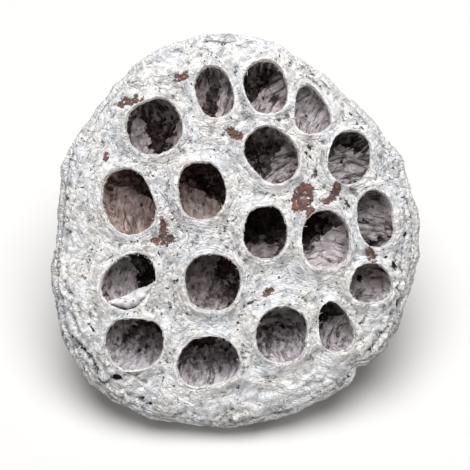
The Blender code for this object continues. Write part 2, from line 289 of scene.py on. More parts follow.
# The values at each point of the husk, and what they are where nothing else is said.
POINT_VALUES = {"gap": 9.0, "depth": 0.0, "along": 0.0, "edge": 9.0, "pale": 0.0, "red": 0.0, "warm": 0.0,
                "chip": 9.0, "speck": 9.0, "crinkle": 0.3, "border": 0.0, "fibre": (0.0, 0.0, 0.0)}


def smooth_step(share):
    share = np.clip(share, 0.0, 1.0)
    return share * share * (3.0 - 2.0 * share)


def spline(values, place, closed=False):
    """A smooth curve through values, which are one apart: place 0 is the first one."""
    values = np.asarray(values, float)
    count = len(values)
    first = np.floor(place).astype(int)
    if not closed:
        first = np.clip(first, 0, count - 2)
    part = np.asarray(place, float) - first
    near = [first + step for step in (-1, 0, 1, 2)]
    near = [index % count if closed else np.clip(index, 0, count - 1) for index in near]
    before, start, end, after = (values[index] for index in near)
    if values.ndim > 1:
        part = part[..., None]
    bend = 3.0 * (start - end) + after - before
    bend = 2.0 * before - 5.0 * start + 4.0 * end - after + part * bend
    return start + 0.5 * part * (end - before + part * bend)


def ripple(bearing, counts, seed):
    """Waves round the pod, one for each count, that add up to no more than 1."""
    phases = np.random.default_rng(seed).uniform(0, TURN, len(counts))
    waves = [np.cos(count * bearing + phase) for count, phase in zip(counts, phases)]
    return sum(waves) / len(counts)


def swell(x, y, length, seed, waves=6):
    """Gentle hills and hollows of about that length, between -1 and 1."""
    rng = np.random.default_rng(seed)
    total = 0.0
    for _ in range(waves):
        way, phase = rng.uniform(0, TURN, 2)
        turns = TURN / (length * rng.uniform(0.7, 1.4))
        total = total + np.cos(turns * (x * math.cos(way) + y * math.sin(way)) + phase)
    return total / waves


def turn_from(middle, bearing):
    """How far a bearing is turned from the middle one, up to half a turn either way."""
    return (bearing - middle + math.pi) % TURN - math.pi


def outline_radius(bearing):
    smooth = spline(OUTLINE_RADII, bearing / TURN * len(OUTLINE_RADII), closed=True)
    notch = np.exp(-((turn_from(NOTCH_BEARING, bearing) * smooth / NOTCH_HALF_WIDTH) ** 2))
    return smooth + SCALLOP * ripple(bearing, SCALLOP_COUNTS, seed=3) - NOTCH_DEPTH * notch


def rim_radius(bearing):
    """Where the face ends, a little inside the pod's outline."""
    return FUNNEL[0][0] * outline_radius(bearing)


def rim_room(x, y):
    """How far a point of the face lies inside the rim."""
    return rim_radius(np.arctan2(y, x)) - np.hypot(x, y)


def around(bearing, radius):
    """Points at these bearings, that far from the middle."""
    return np.stack([radius * np.cos(bearing), radius * np.sin(bearing)], axis=-1)


def from_oval(oval, x, y):
    """How far a point is from an oval's centre, along its width and along its height."""
    lean = math.radians(oval.lean)
    across = (x - oval.right) * math.cos(lean) + (y - oval.up) * math.sin(lean)
    return across, (y - oval.up) * math.cos(lean) - (x - oval.right) * math.sin(lean)


def squared_off(u, v):
    """The size of the slightly squared circle that passes through the point."""
    return (np.abs(u) ** MOUTH_SQUARENESS + np.abs(v) ** MOUTH_SQUARENESS) ** (1 / MOUTH_SQUARENESS)


def mouth_frame(pit, x, y):
    """A point in the mouth's own widths: (0, 0) is its centre, and its edge is about 1 away."""
    across, along = from_oval(pit, x, y)
    v = along / (pit.height / 2)
    return across / (pit.width / 2 * (1.0 - pit.taper * np.clip(v, -1.5, 1.5))), v


def mouth_wobble(pit, angle):
    seed = 100 + PITS.index(pit)
    ragged = MOUTH_RAGGED * ripple(angle, (6, 11, 17, 23), seed=seed + 50)
    return 1.0 + MOUTH_WOBBLE * ripple(angle, (2, 3, 5), seed=seed) + ragged


def mouth_gap(pit, x, y):
    """How far a point lies outside the pit's mouth. It is negative inside."""
    u, v = mouth_frame(pit, x, y)
    size = np.maximum(squared_off(u, v) / mouth_wobble(pit, np.arctan2(v, u)), 1e-6)
    return (1.0 - 1.0 / size) * np.hypot(x - pit.right, y - pit.up)


def nearest_gap(x, y):
    return np.min([mouth_gap(pit, x, y) for pit in PITS], axis=0)


def mouth_offsets(pit, angle):
    """The mouth's edge at these angles, as x and y from its centre."""
    u, v = np.cos(angle), np.sin(angle)
    size, wobble = squared_off(u, v), mouth_wobble(pit, angle)
    u, v = u / size * wobble, v / size * wobble
    across = u * pit.width / 2 * (1.0 - pit.taper * v)
    along = v * pit.height / 2
    lean = math.radians(pit.lean)
    return (
        across * math.cos(lean) - along * math.sin(lean),
        across * math.sin(lean) + along * math.cos(lean),
    )


def face_height(x, y):
    share = np.hypot(x, y) / outline_radius(np.arctan2(y, x))
    lip = LIP_HEIGHT * np.exp(-((np.maximum(nearest_gap(x, y), 0.0) / LIP_REACH) ** 1.5))
    lip = lip * (1.0 - LIP_UNEVEN + LIP_UNEVEN * 2.0 * swell(x, y, LIP_LENGTH, seed=17))
    edge = smooth_step((share - EDGE_START) / (1.0 - EDGE_START))
    crown = CROWN * (1.0 - share**2)
    return crown + SWELL * swell(x, y, SWELL_LENGTH, seed=11) + lip - EDGE_DROP * edge


def rib(bearing, along):
    """The funnel's uneven ribs, between -1 and 1. The finer ones fade towards the neck."""
    rng = np.random.default_rng(21)
    total = 0.0
    for count, share in zip(RIB_COUNTS, RIB_SHARES):
        wander = RIB_WANDER * ripple(bearing + 0.3 * along, (2, 5, 7), seed=count)
        ridge = 1.0 - 2.0 * np.abs(np.sin(0.5 * (count * bearing + wander + rng.uniform(0, TURN))))
        room = smooth_step((1.1 - along) * RIB_COUNTS[0] / count / 0.12)
        total = total + share * room * ridge
    return total


def rest_patch(bearing, along):
    """1 on the patch of belly that the pod lies on, and 0 away from it."""
    off = turn_from(REST_BEARING, bearing)
    away = np.hypot(off / REST_HALF_ANGLE, (along - REST_ALONG) / REST_HALF_LENGTH)
    return 1.0 - smooth_step(2.0 * away - 1.0)


def stem_shift(depth):
    share = smooth_step(depth / STEM[0][1])
    return STEM_OFFSET[0] * share, STEM_OFFSET[1] * share


def ring_points(bearing, radius, depth, height):
    """Points round the pod's middle line, which bends towards the stem."""
    x, y = stem_shift(depth)
    return np.stack([x + radius * np.cos(bearing), y + radius * np.sin(bearing), height], axis=-1)


def funnel_point(bearing, along):
    """A point of the funnel's skin. along runs from 0 at the face's edge to 1 at the neck."""
    last = len(FUNNEL) - 1
    share, depth = np.moveaxis(spline(FUNNEL, along * last), -1, 0)
    ahead = spline(FUNNEL, np.minimum(along * last + 0.05, last))
    behind = spline(FUNNEL, np.maximum(along * last - 0.05, 0.0))
    radius = outline_radius(bearing)
    run = (ahead - behind) * np.stack([radius, np.ones_like(radius)], axis=-1)
    length = np.hypot(run[..., 0], run[..., 1])
    belly = BELLY_SWELL * ripple(bearing, (2, 3, 4), seed=31) * np.sin(math.pi * along)
    ribs = RIB_HEIGHT * rib(bearing, along) * smooth_step(along / 0.25) * smooth_step((1.25 - along) / 0.5)
    out = (belly + ribs) * (1.0 - rest_patch(bearing, along))
    radius = share * radius + out * run[..., 1] / length
    edge = face_height(*around(bearing, rim_radius(bearing)).T) * (1.0 - smooth_step(along / 0.45))
    return ring_points(bearing, radius, depth, edge - depth + out * run[..., 0] / length)


def stem_point(bearing, radius, depth):
    radius = radius * (1.0 + STEM_OUT_OF_ROUND * ripple(bearing, (2, 3), seed=41))
    return ring_points(bearing, radius, depth, np.full_like(bearing, -depth))


def pit_depth(pit):
    share = math.hypot(pit.right, pit.up) / max(OUTLINE_RADII)
    return PIT_DEPTH + (RIM_PIT_DEPTH - PIT_DEPTH) * float(smooth_step(share / 0.75))


def pit_point(pit, angle, share, width):
    """The pit's wall at this share of its depth. Every pit points at one spot under the pod."""
    x, y = mouth_offsets(pit, angle)
    depth = share * pit_depth(pit)
    centre = 1.0 - depth / PIT_FOCUS
    mouth = face_height(pit.right + x, pit.up + y)
    level = (1.0 - share) * mouth + share * np.mean(mouth)
    return np.stack([pit.right * centre + width * x, pit.up * centre + width * y, level - depth], axis=-1)


def turns(count):
    return np.arange(count) * TURN / count


def laid_down():
    """The matrix, in millimetres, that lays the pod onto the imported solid.

    The turn makes the belly and the end of the stem both touch the ground. The move is the one that
    brings the top, the sides, the front and the back to those of the solid's box.
    """
    along = np.linspace(0.2, 1.0, 200)
    belly = funnel_point(np.full_like(along, REST_BEARING), along)
    stem = stem_point(np.array([REST_BEARING]), *STEM[-1])[0]
    tilt = math.atan(float(np.min((belly[:, 2] - stem[2]) / (stem[1] - belly[:, 1]))))
    turn = Matrix.Rotation(tilt, 4, "X")
    bearing = turns(144)
    rings = [funnel_point(bearing, np.full(144, knot / (len(FUNNEL) - 1))) for knot in range(len(FUNNEL))]
    rings += [stem_point(turns(36), *ring) for ring in STEM]
    turned = np.concatenate(rings) @ np.array(turn.to_3x3()).T
    low, high = (np.array(corner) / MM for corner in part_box(NODE))
    move = (low + high) / 2 - (turned.min(axis=0) + turned.max(axis=0)) / 2
    move[2] = high[2] - turned[:, 2].max()
    return Matrix.Translation(move) @ turn


LAID = laid_down()


def to_frame(points):
    """Points from the pod's own millimetres to metres in the frame."""
    return (np.asarray(points) @ np.array(LAID.to_3x3()).T + np.array(LAID.translation)) * MM


def patch_gap(patches, x, y):
    """How far a point lies outside the nearest of these oval patches."""
    gaps = []
    for patch in patches:
        across, along = from_oval(patch, x, y)
        size = np.hypot(across / (patch.width / 2), along / (patch.height / 2))
        gaps.append((size - 1.0) * min(patch.width, patch.height) / 2)
    return np.clip(np.min(gaps, axis=0), -3.0, 9.0)


def store_value(mesh, name, values):
    kind, field = ("FLOAT_VECTOR", "vector") if values.ndim > 1 else ("FLOAT", "value")
    mesh.attributes.new(name, kind, "POINT").data.foreach_set(field, values.ravel())


class Skin:
    """A mesh gathered ring by ring, in the pod's millimetres, with values at its points."""

    def __init__(self):
        self.points = []
        self.triangles = []
        self.values = {name: [] for name in POINT_VALUES}
        self.count = 0

    def add(self, points, **values):
        points = np.atleast_2d(points)
        self.points.append(points)
        for name, usual in POINT_VALUES.items():
            value = np.asarray(values.get(name, usual), float)
            shape = (len(points), 3) if name == "fibre" else (len(points),)
            self.values[name].append(np.broadcast_to(value, shape))
        self.count += len(points)
        return np.arange(self.count - len(points), self.count)

    def fill(self, triangles):
        self.triangles.append(np.asarray(triangles))

    def join(self, upper, lower):
        """Walls from one ring to the next, which may have half as many points."""
        every = len(upper) // len(lower)
        after = np.roll(lower, -1)
        if every == 1:
            above = np.roll(upper, -1)
            self.fill(np.stack([upper, above, after], axis=-1))
            self.fill(np.stack([upper, after, lower], axis=-1))
            return
        first, second, third = upper[::2], upper[1::2], np.roll(upper[::2], -1)
        self.fill(np.stack([first, second, lower], axis=-1))
        self.fill(np.stack([second, after, lower], axis=-1))
        self.fill(np.stack([second, third, after], axis=-1))

    def extend(self, ring, points, **values):
        """Adds a ring of points with the walls down to it, and returns it."""
        lower = self.add(points, **values)
        self.join(ring, lower)
        return lower

    def close(self, ring, middle):
        self.fill(np.stack([ring, np.roll(ring, -1), np.full(len(ring), middle)], axis=-1))

    def mesh(self, name):
        mesh = bpy.data.meshes.new(name)
        points = to_frame(np.concatenate(self.points))
        mesh.from_pydata(points.tolist(), [], np.concatenate(self.triangles).tolist())
        for key, parts in self.values.items():
            store_value(mesh, key, np.concatenate(parts))
        mesh.shade_smooth()
        return mesh


def margin_crinkle(bearing):
    """How deeply the margin is wrinkled: most of all low on the left, and beside the notch."""
    depth = 0.45
    for extra, middle, reach in ((0.60, 202, 34), (0.55, 331, 16)):
        off = turn_from(math.radians(middle), bearing) / math.radians(reach)
        depth = depth + extra * np.exp(-(off**2))
    return depth


def lower_border(bearing):
    """1 along the lower margin, where the husk is rolled over, and 0 along the upper one."""
    off = np.abs(turn_from(math.radians(255), bearing))
    return 1.0 - smooth_step((off - math.radians(60)) / math.radians(28))


def face_values(x, y):
    gap, bearing = nearest_gap(x, y), np.arctan2(y, x)
    return {
        "gap": gap, "edge": rim_room(x, y), "chip": patch_gap(CHIPS, x, y), "speck": patch_gap(SPECKS, x, y),
        "crinkle": margin_crinkle(bearing), "border": lower_border(bearing),
        "fibre": np.stack([gap, FACE_STRETCH * x, FACE_STRETCH * y], axis=-1),
    }


def lip_points(mouths):
    """Rings of points round each mouth, where they keep clear of the next pit and of the rim."""
    kept = []
    for gap in LIP_GAPS:
        for pit, ring in zip(PITS, mouths):
            centre = np.array([pit.right, pit.up])
            out = ring - centre
            foot = ring + out / np.hypot(*out.T)[:, None] * gap
            others = np.min([mouth_gap(other, *foot.T) for other in PITS if other is not pit], axis=0)
            kept.append(foot[(others > gap + 0.25) & (rim_room(*foot.T) > 0.35)])
    return np.concatenate(kept)


def fill_points():
    """Points on a staggered grid over the face, shaken a little, clear of the lips and the rim."""
    reach = max(OUTLINE_RADII)
    rows = int(reach / (FILL_SPACING * math.sqrt(3) / 2)) + 1
    columns = int(reach / FILL_SPACING) + 1
    row, column = np.meshgrid(np.arange(-rows, rows + 1), np.arange(-columns, columns + 1), indexing="ij")
    x = (column + 0.5 * (row % 2)) * FILL_SPACING
    y = row * FILL_SPACING * math.sqrt(3) / 2
    points = np.stack([x.ravel(), y.ravel()], axis=-1)
    points += np.random.default_rng(5).uniform(-FILL_JITTER, FILL_JITTER, points.shape)
    points = points[rim_room(*points.T) > 0.4]
    return points[nearest_gap(*points.T) > LIP_GAPS[-1] + 0.3]


def filled_loops(loops, loose):
    """Triangles inside the first flat loop and through the loose points, which keep every loop's edge."""
    edges = []
    start = 0
    for loop in loops:
        edges += [(start + step, start + (step + 1) % len(loop)) for step in range(len(loop))]
        start += len(loop)
    points = [Vector(point) for point in np.concatenate([*loops, loose])]
    inside_the_loops = 1
    found = delaunay_2d_cdt(points, edges, [], inside_the_loops, 1e-5)
    return np.array(found[0]), np.array(found[2]), found[3]


def add_face(skin):
    """The face with a hole for each pit. Returns its outer ring and the ring of each mouth."""
    bearing = turns(RIM_STEPS)
    outer = around(bearing, rim_radius(bearing))
    angle = turns(MOUTH_STEPS)
    mouths = [np.stack(mouth_offsets(pit, angle), axis=-1) + (pit.right, pit.up) for pit in PITS]
    loops = [outer, *mouths]
    corners, faces, came_from = filled_loops(loops, np.concatenate([lip_points(mouths), fill_points()]))
    x, y = corners.T
    indices = skin.add(np.stack([x, y, face_height(x, y)], axis=-1), **face_values(x, y))
    middles = corners[faces].mean(axis=1)
    skin.fill(indices[faces[nearest_gap(*middles.T) > 0]])
    index_of = {old: indices[new] for new, olds in enumerate(came_from) for old in olds}
    rings = []
    start = 0
    for loop in loops:
        rings.append(np.array([index_of[start + step] for step in range(len(loop))]))
        start += len(loop)
    return rings[0], rings[1:]


def add_pit(skin, pit, lining, mouth):
    angle = turns(MOUTH_STEPS)
    deep = pit_depth(pit)
    number = PITS.index(pit) + 1
    side = 0.5 + 0.5 * np.cos(angle - math.radians(lining.bearing))
    ring = mouth
    places = np.linspace(0.0, len(PIT_WALL) - 1, PIT_STEPS + 1)[1:]
    for place in places:
        share, width = spline(PIT_WALL, place)
        points = pit_point(pit, angle, share, max(width, 0.02))
        x, y = mouth_offsets(pit, angle)
        fade = smooth_step((share - lining.reach) / 0.35 + 0.5)
        # The swing by side is partly painted light: the lit side of the wall paler, the shaded side darker.
        pale = lining.pale - PALE_AND_PAINTED_LIGHT_SWING * (1.0 - side) - PALE_FADE * fade
        down = np.full_like(x, PIT_STRETCH * share * deep)
        fibre = np.stack([x * width + 31.0 * number, y * width, down], axis=-1)
        values = {"gap": -share * deep, "depth": share, "pale": pale, "red": lining.red,
                  "warm": lining.warm, "fibre": fibre}
        if place == places[-1]:
            middle = {name: np.mean(value) for name, value in values.items() if name != "fibre"}
            floor = skin.add(points.mean(axis=0), fibre=fibre.mean(axis=0), **middle)
            skin.close(ring, floor[0])
            return
        ring = skin.extend(ring, points, **values)


def funnel_fibre(bearing, along):
    down = np.full_like(bearing, FUNNEL_STRETCH * FUNNEL_LENGTH * along)
    return np.column_stack([around(bearing, FIBRE_RADIUS), down])


def add_funnel(skin, edge):
    ring = edge
    for along in np.linspace(0.0, 1.0, FUNNEL_STEPS + 1)[1:]:
        count = RIM_STEPS if along < NECK_HALVING else RIM_STEPS // 2
        bearing = turns(count)
        fibre = funnel_fibre(bearing, along)
        points = funnel_point(bearing, np.full(count, along))
        values = {"along": along, "edge": -FUNNEL_LENGTH * along, "crinkle": margin_crinkle(bearing),
                  "border": lower_border(bearing), "fibre": fibre}
        ring = skin.extend(ring, points, **values)
    return ring


def add_stem(skin, neck):
    """The stub, down to a floor that lies a little above the cut end."""
    last_funnel = (FUNNEL[-1][0] * float(np.mean(OUTLINE_RADII)), FUNNEL[-1][1])
    profile = (last_funnel, *STEM)
    ring = neck
    bearing = turns(RIM_STEPS // 4)
    for place in np.linspace(1.0, len(STEM), STEM_STEPS):
        radius, depth = spline(profile, place)
        along = 1.0 + 0.02 * (depth - FUNNEL[-1][1])
        ring = skin.extend(ring, stem_point(bearing, radius, depth), along=along, edge=-50.0,
                           fibre=funnel_fibre(bearing, along))
    radius, depth = STEM[-1]
    for share, recess in ((0.93, 0.0), (0.90, END_RECESS), (0.45, END_RECESS)):
        ring = skin.extend(ring, stem_point(bearing, radius * share, depth - recess), along=2.0, edge=-50.0)
    x, y = stem_shift(depth)
    floor = skin.add((x, y, END_RECESS - depth), along=2.0, edge=-50.0)
    skin.close(ring, floor[0])


def drop_pinches(triangles):
    """Leaves out the triangles at points where two stretches of a sheet's edge touch."""
    while True:
        sides = np.concatenate([triangles[:, [0, 1]], triangles[:, [1, 2]], triangles[:, [2, 0]]])
        sides = set(map(tuple, sides.tolist()))
        edge = [(start, end) for start, end in sides if (end, start) not in sides]
        starts = np.array([start for start, end in edge])
        pinched = np.flatnonzero(np.bincount(starts) > 1)
        if not len(pinched):
            return triangles, np.array(sorted(edge))
        triangles = triangles[~np.isin(triangles, pinched).any(axis=1)]


def thin_sheet(name, points, triangles, thickness, **values):
    """A closed mesh with a sheet's two sides and a wall along its edge, all in millimetres."""
    triangles, edge = drop_pinches(triangles)
    used = np.unique(triangles)
    index = np.full(len(points), -1)
    index[used] = np.arange(len(used))
    points, triangles, edge = points[used], index[triangles], index[edge]
    corners = points[triangles]
    across = np.cross(corners[:, 1] - corners[:, 0], corners[:, 2] - corners[:, 0])
    normals = np.zeros_like(points)
    for corner in range(3):
        np.add.at(normals, triangles[:, corner], across)
    normals /= np.linalg.norm(normals, axis=1)[:, None]
    count = len(points)
    start, end = edge.T
    faces = np.concatenate([
        triangles,
        triangles[:, ::-1] + count,
        np.stack([end, start, start + count], axis=-1),
        np.stack([end, start + count, end + count], axis=-1),
    ])
    both = to_frame(np.concatenate([points + normals * thickness / 2, points - normals * thickness / 2]))
    both[:, 2] = np.maximum(both[:, 2], 0.0)
    mesh = bpy.data.meshes.new(name)
    mesh.from_pydata(both.tolist(), [], faces.tolist())
    for key, value in values.items():
        store_value(mesh, key, np.concatenate([value[used], value[used]]))
    point_outwards(mesh)
    mesh.shade_smooth()
    return mesh


def point_outwards(mesh):
    bm = bmesh.new()
    bm.from_mesh(mesh)
    bmesh.ops.recalc_face_normals(bm, faces=bm.faces)
    bm.to_mesh(mesh)
    bm.free()


def grid_triangles(rows, columns, closed=False):
    """Triangles of a grid whose points are numbered row by row. A closed one wraps round its columns."""
    row, column = np.meshgrid(np.arange(rows - 1), np.arange(columns - (not closed)), indexing="ij")
    row, column = row.ravel(), column.ravel()
    after = (column + 1) % columns
    a, b = row * columns + column, row * columns + after
    c, d = a + columns, b + columns
    return np.concatenate([np.stack([a, b, d], axis=-1), np.stack([a, d, c], axis=-1)])


def film_sheet(film):
    """The points and triangles of one ragged sheet in a pit, with its fibres' way in millimetres."""
    pit = PITS[film.number - 1]
    angle = turns(60)
    sizes = np.linspace(0.06, 1.0, 16)
    way = math.radians(film.way)
    seed = film.number + int(film.bearing)
    rows, fibres, across = [], [], []
    shares, widths = np.array(PIT_WALL).T
    for size in sizes:
        x, y = (size * offset for offset in mouth_offsets(pit, angle))
        share = film.middle + (film.wall - film.middle) * size**2 + 0.035 * swell(x, y, 3.0, seed=seed)
        width = 1.03 * np.interp(share, shares, widths)
        rows.append(pit_point(pit, angle, share, size * width))
        along, over = x * math.cos(way) + y * math.sin(way), y * math.cos(way) - x * math.sin(way)
        over = over + 0.05 * along**2
        drawn = FILM_STRETCH * along + 17.0 * film.number
        fibres.append(np.stack([drawn, over, np.full_like(x, seed)], axis=-1))
        facing = size * np.cos(np.arctan2(y, x) - math.radians(film.bearing))
        ragged = 0.16 * swell(x, y, 1.9, seed=seed + 40)
        hole = np.hypot(x, y) / pit.width * 2.0 < FILM_HOLE + 0.5 * ragged
        across.append(np.where(hole & (film.number == HOLED_FILM), -2.0, facing + film.reach + ragged))
    triangles = grid_triangles(len(sizes), len(angle), closed=True)
    kept = (np.concatenate(across)[triangles] > 0.0).all(axis=1)
    return np.concatenate(rows), triangles[kept][:, ::-1], np.concatenate(fibres)


def films_mesh():
    points, triangles, values = [], [], []
    count = 0
    for film in FILMS:
        sheet, faces, fibres = film_sheet(film)
        points.append(sheet)
        triangles.append(faces + count)
        warm = LININGS[film.number - 1].warm
        values.append(np.column_stack([np.tile([film.pale, film.bands, warm], (len(sheet), 1)), fibres]))
        count += len(sheet)
    pale, bands, warm, *fibre = np.concatenate(values).T
    return thin_sheet("pit_films", np.concatenate(points), np.concatenate(triangles), FILM_THICKNESS,
                      pale=pale, bands=bands, warm=warm, fibre=np.stack(fibre, axis=-1))


def fold_mesh():
    """A lens of white skin that hangs inside the lower edge of a pit, fixed at its two points."""
    pit = PITS[FOLD_PIT - 1]
    along = np.linspace(0.0, 1.0, 46)
    across = np.linspace(0.0, 1.0, 11)
    lens = np.sin(math.pi * np.clip(along, 0.004, 0.996)) ** 0.75
    angle = FOLD_FROM + (FOLD_TO - FOLD_FROM) * along
    x, y = mouth_offsets(pit, angle)
    rows = []
    for step in across:
        creases = 0.010 * np.sin(34.0 * along + 5.0 * step) + 0.025 * swell(x, y, 2.2, seed=9)
        share = 0.13 + (0.10 * (2.0 * step - 1.0) ** 2 + 0.06 * step) * lens + creases * lens
        rows.append(pit_point(pit, angle, share, 1.0 - (FOLD_GAP + FOLD_WIDTH * step) * lens))
    triangles = grid_triangles(len(across), len(along))
    return thin_sheet("folded_skin", np.concatenate(rows), triangles, FOLD_THICKNESS)


def stem_end_mesh():
    """The pith in the cut end: a disc with air channels, set in the stub's shallow recess."""
    bearing = turns(96)
    radius, depth = STEM[-1]
    ring = stem_point(bearing, np.full(96, radius * 0.915), depth)[:, :2]
    middle = np.array(stem_shift(depth))
    loops = [ring]
    for channel in range(CHANNELS):
        way = TURN * channel / CHANNELS + 0.2 * math.sin(5.0 * channel)
        centre = middle + radius * CHANNEL_RING * np.array([math.cos(way), math.sin(way)])
        wide = CHANNEL_RADIUS * (1.0 + 0.18 * math.sin(3.0 * channel + 1.0))
        turn = turns(16)
        loops.append(centre + wide * np.stack([np.cos(turn), 1.12 * np.sin(turn)], axis=-1))
    loops.append(middle + around(turns(12), 0.55 * CHANNEL_RADIUS))
    rng = np.random.default_rng(8)
    loose = middle + rng.uniform(-radius, radius, (900, 2))
    loose = loose[np.hypot(*(loose - middle).T) < radius * 0.87]
    for loop in loops[1:]:
        centre = loop.mean(axis=0)
        loose = loose[np.hypot(*(loose - centre).T) > 1.25 * np.hypot(*(loop - centre).T).max()]
    corners, faces, _ = filled_loops(loops, loose)
    centres = corners[faces].mean(axis=1)
    solid = np.ones(len(faces), bool)
    for loop in loops[1:]:
        hole = loop.mean(axis=0)
        solid &= np.hypot(*(centres - hole).T) > 0.98 * np.hypot(*(loop - hole).T).min()
    level = 0.30 * END_RECESS - depth + 0.07 * swell(*corners.T, 0.9, seed=4)
    points = np.concatenate([corners, level[:, None]], axis=1)
    return thin_sheet("stem_end", points, faces[solid], 1.1 * END_RECESS)


# Node trees


def is_socket(value):
    return isinstance(value, bpy.types.NodeSocket)


def tree_of(*values):
    """The node tree that the sockets among these values are in."""
    return next(value.id_data for value in values if is_socket(value))


def add_node(tree, kind, inputs=(), **settings):
    """Adds a node, with its settings, and joins or fills its inputs by place or by name."""
    node = tree.nodes.new(kind)
    for name, value in settings.items():
        setattr(node, name, value)
    for key, value in inputs.items() if isinstance(inputs, dict) else enumerate(inputs):
        if is_socket(value):
            tree.links.new(value, node.inputs[key])
        else:
            node.inputs[key].default_value = value
    return node


def maths(operation, *inputs):
    return add_node(tree_of(*inputs), "ShaderNodeMath", inputs, operation=operation).outputs[0]


def vector_maths(operation, *inputs):
    node = add_node(tree_of(*inputs), "ShaderNodeVectorMath", inputs, operation=operation)
    return node.outputs["Value" if operation == "DOT_PRODUCT" else "Vector"]


def scaled(vector, by):
    inputs = {0: vector, "Scale": by}
    return add_node(tree_of(vector), "ShaderNodeVectorMath", inputs, operation="SCALE").outputs[0]


def product(*values):
    return functools.reduce(lambda first, second: maths("MULTIPLY", first, second), values)


def total(*values):
    return functools.reduce(lambda first, second: maths("ADD", first, second), values)


def centred(value, height=1.0):
    """Brings a value from 0..1 to -height..height."""
    return maths("MULTIPLY_ADD", value, 2.0 * height, -height)


def between(value, low, high, start=0.0, end=1.0):
    """start below low and end above high, with a smooth change between them."""
    inputs = (value, low, high, start, end)
    return add_node(tree_of(value), "ShaderNodeMapRange", inputs, interpolation_type="SMOOTHSTEP").outputs[0]


def noise(vector, length, detail=2.0, rough=0.5, warp=0.0):
    """Noise from 0 to 1 whose lumps are about this long, in the vector's own units."""
    inputs = {"Vector": vector, "Scale": 1.0 / length, "Detail": detail, "Roughness": rough,
              "Distortion": warp}
    return add_node(tree_of(vector), "ShaderNodeTexNoise", inputs).outputs[0]


def ridges(vector, length, detail=2.0, rough=0.5, warp=0.0):
    """1 along thin crests, falling to about 0 in the hollows between them."""
    waves = centred(noise(vector, length, detail, rough, warp))
    return maths("SUBTRACT", 1.0, maths("MULTIPLY", maths("ABSOLUTE", waves), 2.4))


def mix_colours(share, first, second, blend="MIX"):
    first, second = (value if is_socket(value) else (*value, 1.0) for value in (first, second))
    return add_node(tree_of(share, first, second), "ShaderNodeMix", {0: share, 6: first, 7: second},
                    data_type="RGBA", blend_type=blend).outputs[2]


def multiply_colours(first, second):
    return mix_colours(1.0, first, second, "MULTIPLY")


def new_tree(name, kind, inputs, outputs):
    """A node tree, and what its input node gives. Each socket has its kind, or a number's default."""
    tree = bpy.data.node_groups.new(name, kind + "NodeTree")
    for direction, sockets in (("INPUT", inputs), ("OUTPUT", outputs)):
        for label, value in sockets.items():
            known = isinstance(value, str)
            socket_type = "NodeSocket" + (value if known else "Float")
            socket = tree.interface.new_socket(label, in_out=direction, socket_type=socket_type)
            if not known:
                socket.default_value = value
    return tree, tree.nodes.new("NodeGroupInput").outputs


def geometry_tree(name, *sizes):
    """A tree that takes a geometry, these sizes and a material, and gives a geometry."""
    inputs = {"Geometry": "Geometry", **dict.fromkeys(sizes, "Float"), "Material": "Material"}
    return new_tree(name, "Geometry", inputs, {"Geometry": "Geometry"})


def finish_tree(tree, geometry, given):
    real = add_node(tree, "GeometryNodeRealizeInstances", (geometry,)).outputs[0]
    done = add_node(tree, "GeometryNodeSetMaterial", {"Geometry": real, "Material": given["Material"]})
    add_node(tree, "NodeGroupOutput", (done.outputs[0],))
    return tree


def grow(obj, tree, values):
    """Runs a node tree on the object and keeps the result as its plain mesh."""
    modifier = obj.modifiers.new(tree.name, "NODES")
    modifier.node_group = tree
    for item in tree.interface.items_tree:
        if item.item_type == "SOCKET" and item.in_out == "INPUT" and item.name in values:
            modifier[item.identifier] = values[item.name]
    depsgraph = bpy.context.evaluated_depsgraph_get()
    grown = bpy.data.meshes.new_from_object(obj.evaluated_get(depsgraph), depsgraph=depsgraph)
    obj.modifiers.remove(modifier)
    start, obj.data = obj.data, grown
    bpy.data.meshes.remove(start)


def named(tree, name, kind="FLOAT"):
    return add_node(tree, "GeometryNodeInputNamedAttribute", {"Name": name}, data_type=kind).outputs[0]


def position_of(tree):
    return add_node(tree, "GeometryNodeInputPosition").outputs[0]


def rolled_border(gap, edge, border, place):
    """1 on the smooth lower border, between the last pits and the rim."""
    return product(border, between(edge, 1.0, 2.6), between(edge, 13.0, 9.0), between(gap, 0.6, 2.0),
                   between(noise(place, 8.0), 0.34, 0.52))


